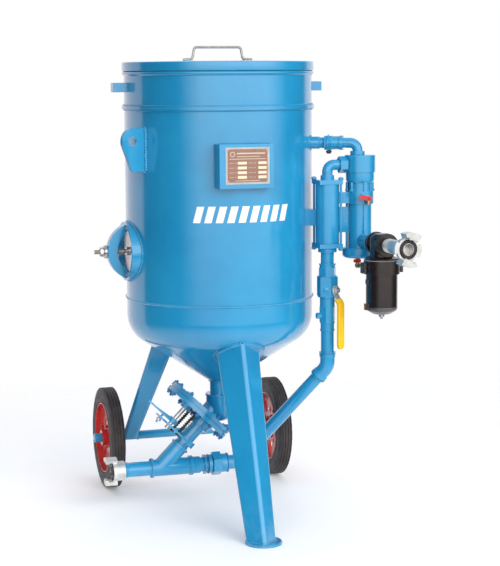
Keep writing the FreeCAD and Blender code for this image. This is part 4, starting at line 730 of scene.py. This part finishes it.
def wheel(name, way):
    centre = V(WHEEL[0] * way, *WHEEL[1:])
    axis = EAST * way
    body = f"wheel_{name}"
    half = 25.0
    tread = []
    for place in (-15, -5, 5, 15):
        tread += [(174.6, place - 2.2, 0.7), (171.4, place - 1.1, 0.5), (171.4, place + 1.1, 0.5),
                  (174.6, place + 2.2, 0.7)]
    profile = ((122.2, -18, 1), (124, -23.5, 2), (129, -half, 1), (134, -half, 0.8), (136, -24.0, 0.8),
               (148, -24.2, 1.0), (150, -half, 0.8), (159, -24.4, 9), (174.6, -20.5, 5),
               *tread,
               (174.6, 20.5, 5), (159, 24.4, 9), (150, half, 0.8), (148, 24.2, 1.0), (136, 24.0, 0.8),
               (134, half, 0.8), (129, half, 1), (124, 23.5, 2), (122.2, 18, 1))

    def blocks(spot, angle):
        """Fine cross cuts in the tread's shoulders."""
        if spot.x < 0.172 or abs(spot.y) < 0.017:
            return spot.x
        return spot.x - 0.0014 * (1.0 if (angle * 48 / math.pi) % 2 < 0.5 else 0.0)

    bm = bmesh.new()
    lathe(bm, profile, centre, axis, 384, 0.8, ripple=blocks)
    link(f"tyre_rubber_{name}", bm, TYRE, body, (f"tyre_{name}",), sharp=35)

    bm = bmesh.new()
    for side in (-1, 1):
        face = 23.0 * side
        lathe(bm, ((117.6, face - 3 * side), (117.6, face - 0.2 * side, 0.8), (119.5, face + 0.7 * side, 0.8),
                   (121.4, face - 0.2 * side, 0.8), (121.4, face - 3 * side)), centre, axis, 192, 0.8)
    for side in (-1, 1):
        for step in range(5):
            turn = math.radians(72 * step + 36)
            spot = centre + basis(axis) @ polar(turn, 37 * MM, 4 * MM * side)
            hexagon(bm, 7, 0, 4.6, spot, axis * side, turn)
            disc(bm, 3.6, 4.4, 7.5, spot, axis * side, 0.6, 24)
    link(f"rim_trim_{name}", bm, RED, body)
    bm = bmesh.new()
    for side, seed in ((1, 70), (-1, 73)):
        weld(bm, circle(28.2, centre + axis * 4.4 * side * MM, axis, 72), 2.2, True, 5, 0.25, seed + way)
    link(f"weld_hub_{name}", bm, RED, body, sharp=80)


# ---------------------------------------------------------------- handhole

def handhole_set():
    west = -EAST
    bm = bmesh.new()
    lathe(bm, ((6.7, 376.2), (21, 376.2, 1), (22, 379, 1), (20, 387.4, 2), (16, 388.2, 1), (6.7, 388.2)),
          V(0, 0, HANDHOLE), west, 72, 0.8)
    hexagon(bm, 15, 388.2, 400.2, V(0, 0, HANDHOLE), west, 0.2, 6.7)
    link("handhole_clamp_nut", bm, STEEL, "pot", ("handhole_nut",))
    bm = bmesh.new()
    screw(bm, 7.1, 318, 417.6, V(0, 0, HANDHOLE), west, 2.0, 0.5)
    link("handhole_stud_thread", bm, BRASS_DULL, "pot", sharp=25)


# ---------------------------------------------------------------- markings and the data plate

def curved_patch(bm, corners, inner, outer, steps=8):
    """A thin slab on the vessel's wall; corners are (degrees from the front, height) pairs, in order."""
    def at(angle, height, radius):
        return V(radius * math.sin(math.radians(angle)), -radius * math.cos(math.radians(angle)), height)

    (a0, z0), (a1, z1), (a2, z2), (a3, z3) = corners
    grid = []
    for row in range(2):
        line = []
        for step in range(steps + 1):
            t = step / steps
            angle = (a0 + (a1 - a0) * t) if row == 0 else (a3 + (a2 - a3) * t)
            height = (z0 + (z1 - z0) * t) if row == 0 else (z3 + (z2 - z3) * t)
            line.append((angle, height))
        grid.append(line)
    layers = [[[bm.verts.new(at(angle, height, radius)) for angle, height in line] for line in grid]
              for radius in (inner, outer)]
    for k in range(steps):
        for layer in layers:
            bm.faces.new([layer[0][k], layer[0][k + 1], layer[1][k + 1], layer[1][k]])
        for row in (0, 1):
            bm.faces.new([layers[0][row][k], layers[0][row][k + 1], layers[1][row][k + 1], layers[1][row][k]])
    for k in (0, steps):
        bm.faces.new([layers[0][0][k], layers[0][1][k], layers[1][1][k], layers[1][0][k]])


def markings():
    """A plain band of slanted bars on the vessel's front."""
    bm = bmesh.new()
    count, pitch, wide, slant = 9, 6.7, 4.3, 2.6
    first = -1.2 - pitch * (count - 1) / 2
    for index in range(count):
        middle = first + pitch * index
        curved_patch(bm, [(middle - wide / 2 - slant / 2, 978), (middle + wide / 2 - slant / 2, 978),
                          (middle + wide / 2 + slant / 2, 1029), (middle - wide / 2 + slant / 2, 1029)],
                     304.9, 305.45)
    link("front_marking", bm, WHITE, "pot", sharp=30)


def flat_patch(bm, left, right, low, high, back, front, radius=1.0):
    """A thin slab that faces the front, with round corners."""
    spin = Matrix(((1, 0, 0), (0, 0, -1), (0, 1, 0))).to_4x4()
    outline = rounded_outline((right - left) / 2 * MM, (high - low) / 2 * MM, radius * MM, 4,
                               ((left + right) / 2 * MM, (low + high) / 2 * MM))
    plate(bm, outline, back * MM, front * MM, spin, AXIS, 0.0)


def data_plate_print():
    """The plate's printed field, its blank cells, its ruled lines and four rivets."""
    middle, face = -7.0, 346.5
    bm = bmesh.new()
    flat_patch(bm, middle - 64, middle + 64, 1106, 1207.5, face - 0.3, face + 0.18, 6)
    link("plate_field", bm, BROWN, "pot", sharp=30)
    bm = bmesh.new()
    rows = ((1161, 1169), (1146, 1154.5), (1131.5, 1139.8), (1117.2, 1126))
    for low, high in rows:
        for left, right in ((-31.5, -2.5), (34.3, 61.0)):
            flat_patch(bm, middle + left, middle + right, low, high, face, face + 0.34, 0.6)
    link("plate_cells", bm, CREAM, "pot", sharp=30)
    bm = bmesh.new()
    for low, high in rows:
        line = (low + high) / 2
        for left in (-58, 3):
            for step, length in enumerate((9, 6, 7)):
                start = middle + left + step * 8.6
                flat_patch(bm, start, start + length * 0.8, line - 0.7, line + 0.7, face, face + 0.3, 0.5)
    for low, high, left, right in ((1192.5, 1196.5, -34, 56), (1184, 1186, -34, 40),
                                   (1176.5, 1178.5, -58, 58), (1110, 1111.6, -40, 40)):
        flat_patch(bm, middle + left, middle + right, low, high, face, face + 0.3, 0.7)
    lathe(bm, ((8, 346.3), (8, 346.8), (5.6, 346.8), (5.6, 346.3)), V(-55, 0, 1192), -NORTH, 40, 0.1)
    link("plate_rules", bm, RULES, "pot", sharp=30)
    bm = bmesh.new()
    for way in (-1, 1):
        for z in (1108, 1205):
            lathe(bm, ((0, 346.2), (3.2, 346.2), (3.2, 346.7, 0.3), (2.4, 347.6, 0.6), (0, 348.2)),
                  V(middle + 62.5 * way, 0, z), -NORTH, 28, 0.4, closed=False)
    link("plate_rivets", bm, ALUMINIUM, "pot")


# ---------------------------------------------------------------- air fittings

def air_fittings():
    direction = ray(NOZZLE)
    bm = bmesh.new()
    screw(bm, 18.2, 335, 352.5, V(0, 0, AIR_LINE), direction, 2.3, 0.9, 40)
    screw(bm, 18.4, CAP_TOP, CAP_TOP + 3.5, V(*VALVE, 0) - direction * 8 * MM, UP, 2.3, 0.8, 40)
    link("air_pipe_thread", bm, BLUE, "pot", sharp=25)
    bm = bmesh.new()
    for size, start, stop in ((23.2, 399, 403.5), (27.0, 362.5, 366.0)):
        rib(bm, size - 6, size, start, stop, V(0, 0, AIR_LINE), direction)
    link("air_union_beads", bm, BLUE, "pot")

    bm = bmesh.new()
    lathe(bm, ((0, 1179.5), (6.4, 1179.5, 0.8), (6.4, 1183), (9.2, 1183, 0.8), (9.2, 1188.4), (5, 1191)),
          V(365 * direction.x, 365 * direction.y, 0), UP, 40, 0.6, closed=False)
    link("air_union_plug", bm, DARK_STEEL, "pot")
    bm = bmesh.new()
    for turn in (-8, 172, -150):
        spot = (VALVE[0] + 41.8 * ray(turn).x, VALVE[1] + 41.8 * ray(turn).y)
        disc(bm, 4.2, 1060, 1090, V(*spot, 0), UP, 0.4, 24)
        hexagon(bm, 7, 1061, 1067, V(*spot, 0), UP)
    link("valve_pillars", bm, BLUE, "pot")
    bm = bmesh.new()
    for x, y in ((33.5, -33.5), (-33.5, 33.5)):
        for low, high in ((1100.2, 1107.2), (874.6, 881.8)):
            hexagon(bm, 8.4, low, high, V(LINE[0] + x, LINE[1] + y, 0), UP, 0.3)
    link("tie_rod_nuts", bm, BLUE, "pot")


def loft(bm, rings):
    """A closed skin over rings of equal length."""
    rows = [[bm.verts.new(point) for point in ring] for ring in rings]
    for first, second in zip(rows, rows[1:]):
        stitch(bm, first, second)
    bm.faces.new(rows[0])
    bm.faces.new(rows[-1])


def choke_set():
    stem = ray(-60)
    side = UP.cross(stem)
    centre = V(*LINE, CHOKE)
    bm = bmesh.new()
    spin = Matrix((stem, UP, side)).transposed().to_4x4()
    flat = [(r * MM, u * MM) for r, u in ((32, 2), (32, -14), (53, -42), (53, -170), (58, -170), (58, -40),
                                          (37, -12), (37, 2))]
    plate(bm, flat, -10 * MM, 10 * MM, spin, centre, 0.5 * MM, 2)
    rib(bm, 9.5, 15.4, 31.2, 37.8, centre, stem, 1.0, 0.7, 56)
    hexagon(bm, 9.8, 37.2, 43.4, centre, stem, 0.3)
    screw(bm, 5.0, 43, 48, centre, stem, 1.5, 0.4, 24)
    link("choke_lever_bar", bm, ZINC, "choke", ("choke_lever",))
    bm = bmesh.new()
    rib(bm, 8.6, 13.5, 26.5, 30.8, centre, stem, 1.0, 0.7, 48)
    link("choke_stem_ring", bm, DARK_STEEL, "choke")

    # the dipped sleeve follows the bar's step and ends round
    line = [(44.6, -28.5, 0.9, 4.0), (45.6, -30.0, 0.99, 5.4), (46.4, -31.2, 1, 5.9), (49.0, -34.6, 1, 6.0),
            (51.8, -38.4, 1, 6.0), (53.9, -41.8, 1, 6.0), (55.1, -45.6, 1, 6.0), (55.5, -50.5, 1, 6.0)]
    line += [(55.5, -60.0 - 10 * k, 1, 6.0) for k in range(12)]
    line += [(55.5, -176 - 14 * math.sin(math.radians(a)), math.cos(math.radians(a)), 6.0 - (a / 86) ** 6 * 3)
             for a in (0, 12, 24, 36, 48, 58, 67, 75, 81, 86)]
    rings = []
    for k, (r, u, wide, thick) in enumerate(line):
        before, after = line[max(0, k - 1)], line[min(len(line) - 1, k + 1)]
        along = Vector((after[0] - before[0], after[1] - before[1])).normalized()
        across = Vector((-along.y, along.x))
        ring = []
        for step in range(32):
            angle = 2 * math.pi * (step + 0.5) / 32
            x, y = math.cos(angle), math.sin(angle)
            x, y = (math.copysign(abs(v) ** 0.42, v) for v in (x, y))
            out = Vector((r, u)) + across * y * thick
            ring.append(centre + (stem * out.x + UP * out.y + side * x * 14 * wide) * MM)
        rings.append(ring)
    bm = bmesh.new()
    loft(bm, rings)
    for way in (-1, 1):
        ring_path = [centre + (stem * 61.3 + UP * (-84 - 7 * k) + side * (3.2 * way)) * MM for k in range(12)]
        bar(bm, ring_path, 0.9 * MM, 12)
    link("choke_lever_sleeve", bm, YELLOW, "choke")
    bm = bmesh.new()
    for low, high, size in ((788, 792, 31.0), (826, 830.6, 27.0), (722, 726.5, 31.0), (638, 643.5, 24.6),
                            (612.5, 617, 24.4)):
        rib(bm, size - 5, size, low, high, V(*LINE, 0), UP)
    link("choke_beads", bm, BLUE, "pot")


# ---------------------------------------------------------------- filter and couplings

def filter_set():
    head = ray(INLET)
    axis = V(VALVE[0] + 152 * head.x, VALVE[1] + 152 * head.y, 0)
    bm = bmesh.new()
    lathe(bm, ((52, 852.6), (56.6, 852.6, 0.8), (57.1, 853.9, 0.6), (55.6, 855.0, 0.6), (52, 855.0)),
          axis, UP, 96, 0.6)
    link("filter_clamp_edge", bm, GREY, "pot")
    bm = bmesh.new()
    lathe(bm, ((6, 680.6), (14, 679.8, 3), (30, 683.4), (46.5, 693.6, 3), (50.2, 700.0, 2), (50.2, 706),
               (49.4, 706), (49.2, 700.8), (6, 682)), axis, UP, 96, 1.4)
    link("filter_bowl_foot", bm, SMOKE, "pot")
    bm = bmesh.new()
    for way in (-1, 1):
        for height in (822, 841):
            spot = axis + Vector((61.5 * way, 0, height)) * MM
            hexagon(bm, 6, 10.6, 15, spot, -NORTH, 0.2)
            disc(bm, 3, 14.6, 18, spot, -NORTH, 0.5, 20)
            hexagon(bm, 6, 10.6, 14, spot, NORTH, 0.2)
    link("filter_clamp_bolts", bm, DARK_STEEL, "pot")
    bm = bmesh.new()
    for start in (110, 114, 118, 178, 182, 186, 190):
        rib(bm, 30, 36.9, start, start + 2.4, V(*VALVE, PORT), head, 0.8, 0.8)
    link("filter_port_beads", bm, BLACK, "pot")
    bm = bmesh.new()
    screw(bm, 22.4, 196, 228, V(*VALVE, PORT), head, 2.3, 0.9, 48)
    link("inlet_nipple_thread", bm, ZINC, "pot", sharp=25)
    bm = bmesh.new()
    lathe(bm, ((19.4, 316), (19.4, 326.1, 0.6), (17.0, 326.1, 0.6), (17.0, 316)), V(*VALVE, PORT), head, 72,
          0.5)
    lathe(bm, ((19.4, 366), (19.4, 373.6, 0.6), (17.0, 373.6, 0.6), (17.0, 366)), V(0, 0, BLAST), -EAST, 72,
          0.5)
    link("coupling_liners", bm, STEEL, "pot")


def pusher_beads():
    bm = bmesh.new()
    start, finish = V(*LINE, 496), V(62, 0, BLAST)
    heading = (finish - start).normalized()
    for spot, way in ((start + heading * 42 * MM, heading), (finish - heading * 52 * MM, -heading),
                      (V(*LINE, 536), UP)):
        for offset in (-1.5, 4.5):
            rib(bm, 22, 27.2, offset, offset + 3.4, spot, way)
    for x in (-240, -106, -62, -48, 17):
        rib(bm, 25, 33.2, x, x + 5, V(0, 0, BLAST), EAST, 1.4, 1.2)
    link("pipe_beads", bm, BLUE, "pot")
    bm = bmesh.new()
    screw(bm, 25.4, -338, -318, V(0, 0, BLAST), EAST, 2.3, 0.9, 48)
    screw(bm, 25.4, -104, -101, V(0, 0, BLAST), EAST, 2.3, 0.9, 48)
    link("blast_thread", bm, BLUE, "pot", sharp=25)


# ---------------------------------------------------------------- metering valve

def metering_set():
    bm = bmesh.new()
    for step in range(12):
        angle = math.radians(30 * step + 15)
        x, y = -37 + 115 * math.cos(angle), 115 * math.sin(angle)
        screw(bm, 4.0, 199, 252, branch(x, y, 0), SLOPE, 1.5, 0.4, 20)
        for low, high in ((204.6, 210.9), (241.1, 247.6)):
            hexagon(bm, 8, low, high, branch(x, y, 0), SLOPE, angle * 1.7)
    # the bolts take the darker copy of the blue paint, a painted shade
    link("meter_bolt_set", bm, BLUE_SHADED, "pot", ("meter_bolts",), sharp=30)

    bm = bmesh.new()
    for way in (-1, 1):
        spot = branch(-46, 34 * way, 0)
        spin = basis(SLOPE)
        turns, steps = 10, 20
        helix = []
        for k in range(turns * steps + 1):
            share = k / (turns * steps)
            ease = 126.9 + (211 - 127.9) * share + 0.9 * (1 - share)
            helix.append(spot + spin @ polar(2 * math.pi * k / steps, 6.0 * MM, ease * MM))
        bar(bm, helix, 1.15 * MM, 10)
        screw(bm, 4.0, 118, 211, spot, SLOPE, 1.5, 0.4, 20)
        hexagon(bm, 7.6, 205.5, 210.9, spot, SLOPE)
        hexagon(bm, 7.6, 114, 119.8, spot, SLOPE)
    link("meter_spring_set", bm, DARK_STEEL, "pot", ("meter_springs",), sharp=30)

    bm = bmesh.new()
    centre = branch(-118, 0, 109.7)
    lathe(bm, ((3.6, 0), (7, 0, 1), (6.4, 9, 1), (5.2, 10, 1), (3.6, 10)), centre, SLOPE, 40, 0.6)
    reach = 9.9
    for step in range(4):
        low, high = (0.2, 7.8) if step % 2 else (-2.8, 8.8)
        spin = basis(SLOPE, math.pi / 2 * step) @ Matrix(((1, 0, 0), (0, 0, 1), (0, -1, 0))).to_4x4()
        outline = rounded_outline((reach - 4.6) / 2 * MM, (high - low) / 2 * MM, 2.0 * MM, 4,
                                   ((reach + 4.6) / 2 * MM, -(high + low) / 2 * MM))
        plate(bm, outline, -1.7 * MM, 1.7 * MM, spin, centre, 0.7 * MM, 2)
    link("wing_nut", bm, STEEL, "meter_knob", ("meter_knob",))

    bm = bmesh.new()
    for low, high, size in ((186, 190, 37.0), (205.5, 211, 38.0)):
        rib(bm, 30, size, low, high, branch(0, 0, 0), SLOPE, 1.2)
    rib(bm, 20, 26.5, 101, 106, branch(0, 0, 0), SLOPE, 1.2)
    rib(bm, 34, 50.5, 377, 384.6, AXIS, UP, 1.6, 1.4, 96)
    link("meter_beads", bm, BLUE, "pot")


welds()
lid_set()
wheel("left", -1)
wheel("right", 1)
handhole_set()
markings()
data_plate_print()
air_fittings()
choke_set()
filter_set()
pusher_beads()
metering_set()


# ---------------------------------------------------------------- floor, light and camera

def studio():
    """A pale floor that fades out, soft lights and the camera."""
    floor_mat, tree, bsdf = new_material("floor")
    w = Weave(tree)
    w.plug(w.mix(w.ramp(w.noise(3.0, 3.0), 0.3, 0.7), (0.93, 0.935, 0.94), (0.96, 0.96, 0.96)),
           bsdf.inputs["Base Color"])
    bsdf.inputs["Roughness"].default_value = 0.6
    bsdf.inputs["Emission Color"].default_value = (1.0, 1.0, 1.0, 1.0)
    bsdf.inputs["Emission Strength"].default_value = 0.14
    flat = w.add("ShaderNodeSeparateXYZ")
    w.plug(w.place, flat.inputs["Vector"])
    reach = w.math("SQRT", w.math("ADD", w.math("MULTIPLY", flat.outputs["X"], flat.outputs["X"]),
                                  w.math("MULTIPLY", flat.outputs["Y"], flat.outputs["Y"])))
    clear = w.add("ShaderNodeBsdfTransparent")
    blend = w.add("ShaderNodeMixShader")
    w.plug(w.ramp(reach, 0.9, 2.6), blend.inputs["Fac"])
    w.plug(bsdf.outputs["BSDF"], blend.inputs[1])
    w.plug(clear.outputs["BSDF"], blend.inputs[2])
    w.plug(blend.outputs["Shader"], tree.nodes["Material Output"].inputs["Surface"])
    bm = bmesh.new()
    bmesh.ops.create_circle(bm, cap_ends=True, segments=96, radius=2.7)
    mesh = bpy.data.meshes.new("floor")
    bm.to_mesh(mesh)
    bm.free()
    mesh.materials.append(floor_mat)
    floor = bpy.data.objects.new("floor", mesh)
    bpy.context.scene.collection.objects.link(floor)
    floor.location.z = -0.0005

    world = bpy.data.worlds.new("studio")
    world.use_nodes = True
    bpy.context.scene.world = world
    tree = world.node_tree
    w = Weave(tree)
    direction = w.add("ShaderNodeTexCoord").outputs["Generated"]
    split = w.add("ShaderNodeSeparateXYZ")
    w.plug(direction, split.inputs["Vector"])
    # white behind the machine, a broad soft panel in front of it to the right, dim between the two
    heading = math.radians(17.2)
    toward = w.math("SUBTRACT", w.math("MULTIPLY", split.outputs["X"], -math.sin(heading)),
                    w.math("MULTIPLY", split.outputs["Y"], math.cos(heading)))
    aside = w.math("SUBTRACT", w.math("MULTIPLY", split.outputs["X"], math.cos(heading)),
                   w.math("MULTIPLY", split.outputs["Y"], math.sin(heading)))
    around = w.math("ARCTAN2", aside, toward)
    back = w.math("ADD", w.ramp(around, -1.78, -1.84), w.ramp(around, 2.25, 2.4))
    panel = w.math("MULTIPLY", w.ramp(around, -0.8, -0.35), w.ramp(around, 1.6, 1.1))
    panel = w.math("MULTIPLY", panel, w.ramp(split.outputs["Z"], 0.85, 0.5))
    panel = w.math("MULTIPLY", panel, w.ramp(split.outputs["Z"], -0.25, 0.05))
    top = w.ramp(split.outputs["Z"], 0.45, 0.95)
    shade = w.mix(panel, (0.03, 0.06, 0.1), (2.35, 2.35, 2.3))
    shade = w.mix(back, shade, (1.0, 0.96, 1.0))
    shade = w.mix(top, shade, (0.6, 0.64, 0.7))
    sight = w.add("ShaderNodeLightPath").outputs["Is Camera Ray"]
    w.plug(w.mix(sight, shade, (1.0, 1.0, 1.0)), tree.nodes["Background"].inputs["Color"])
    tree.nodes["Background"].inputs["Strength"].default_value = 1.0

    def lamp(name, place, aim, width, height, power, tint=(1, 1, 1)):
        data = bpy.data.lights.new(name, "AREA")
        data.shape = "RECTANGLE"
        data.size, data.size_y = width, height
        data.energy = power
        data.color = tint
        light = bpy.data.objects.new(name, data)
        light.location = place
        light.rotation_euler = (Vector(aim) - Vector(place)).to_track_quat("-Z", "Y").to_euler()
        light.visible_camera = False
        light.visible_glossy = False
        bpy.context.scene.collection.objects.link(light)

    lamp("key", (1.4, -4.75, 2.4), (0, 0, 0.8), 2.6, 2.4, 118)
    lamp("over", (0, 0.4, 4.2), (0, 0, 0), 2.6, 2.6, 26)

    # the camera: a long lens, level with the lid, looking a little down
    turn, pitch, roll = (math.radians(angle) for angle in (17.1955, 7.3527, 0.3519))
    forward = Vector((math.sin(turn) * math.cos(pitch), math.cos(turn) * math.cos(pitch), -math.sin(pitch)))
    right = Vector((math.cos(turn), -math.sin(turn), 0))
    above = right.cross(forward)
    side = right * math.cos(roll) - above * math.sin(roll)
    top_way = right * math.sin(roll) + above * math.cos(roll)
    data = bpy.data.cameras.new("camera")
    data.lens = 103.31
    data.sensor_width = 36.0
    camera = bpy.data.objects.new("camera", data)
    frame_axes = Matrix((side, top_way, -forward)).transposed().to_4x4()
    camera.matrix_world = Matrix.Translation(Vector((-1.51048, -5.09162, 1.43705))) @ frame_axes
    bpy.context.scene.collection.objects.link(camera)
    bpy.context.scene.camera = camera
    bpy.context.scene.view_settings.view_transform = "Standard"


studio()
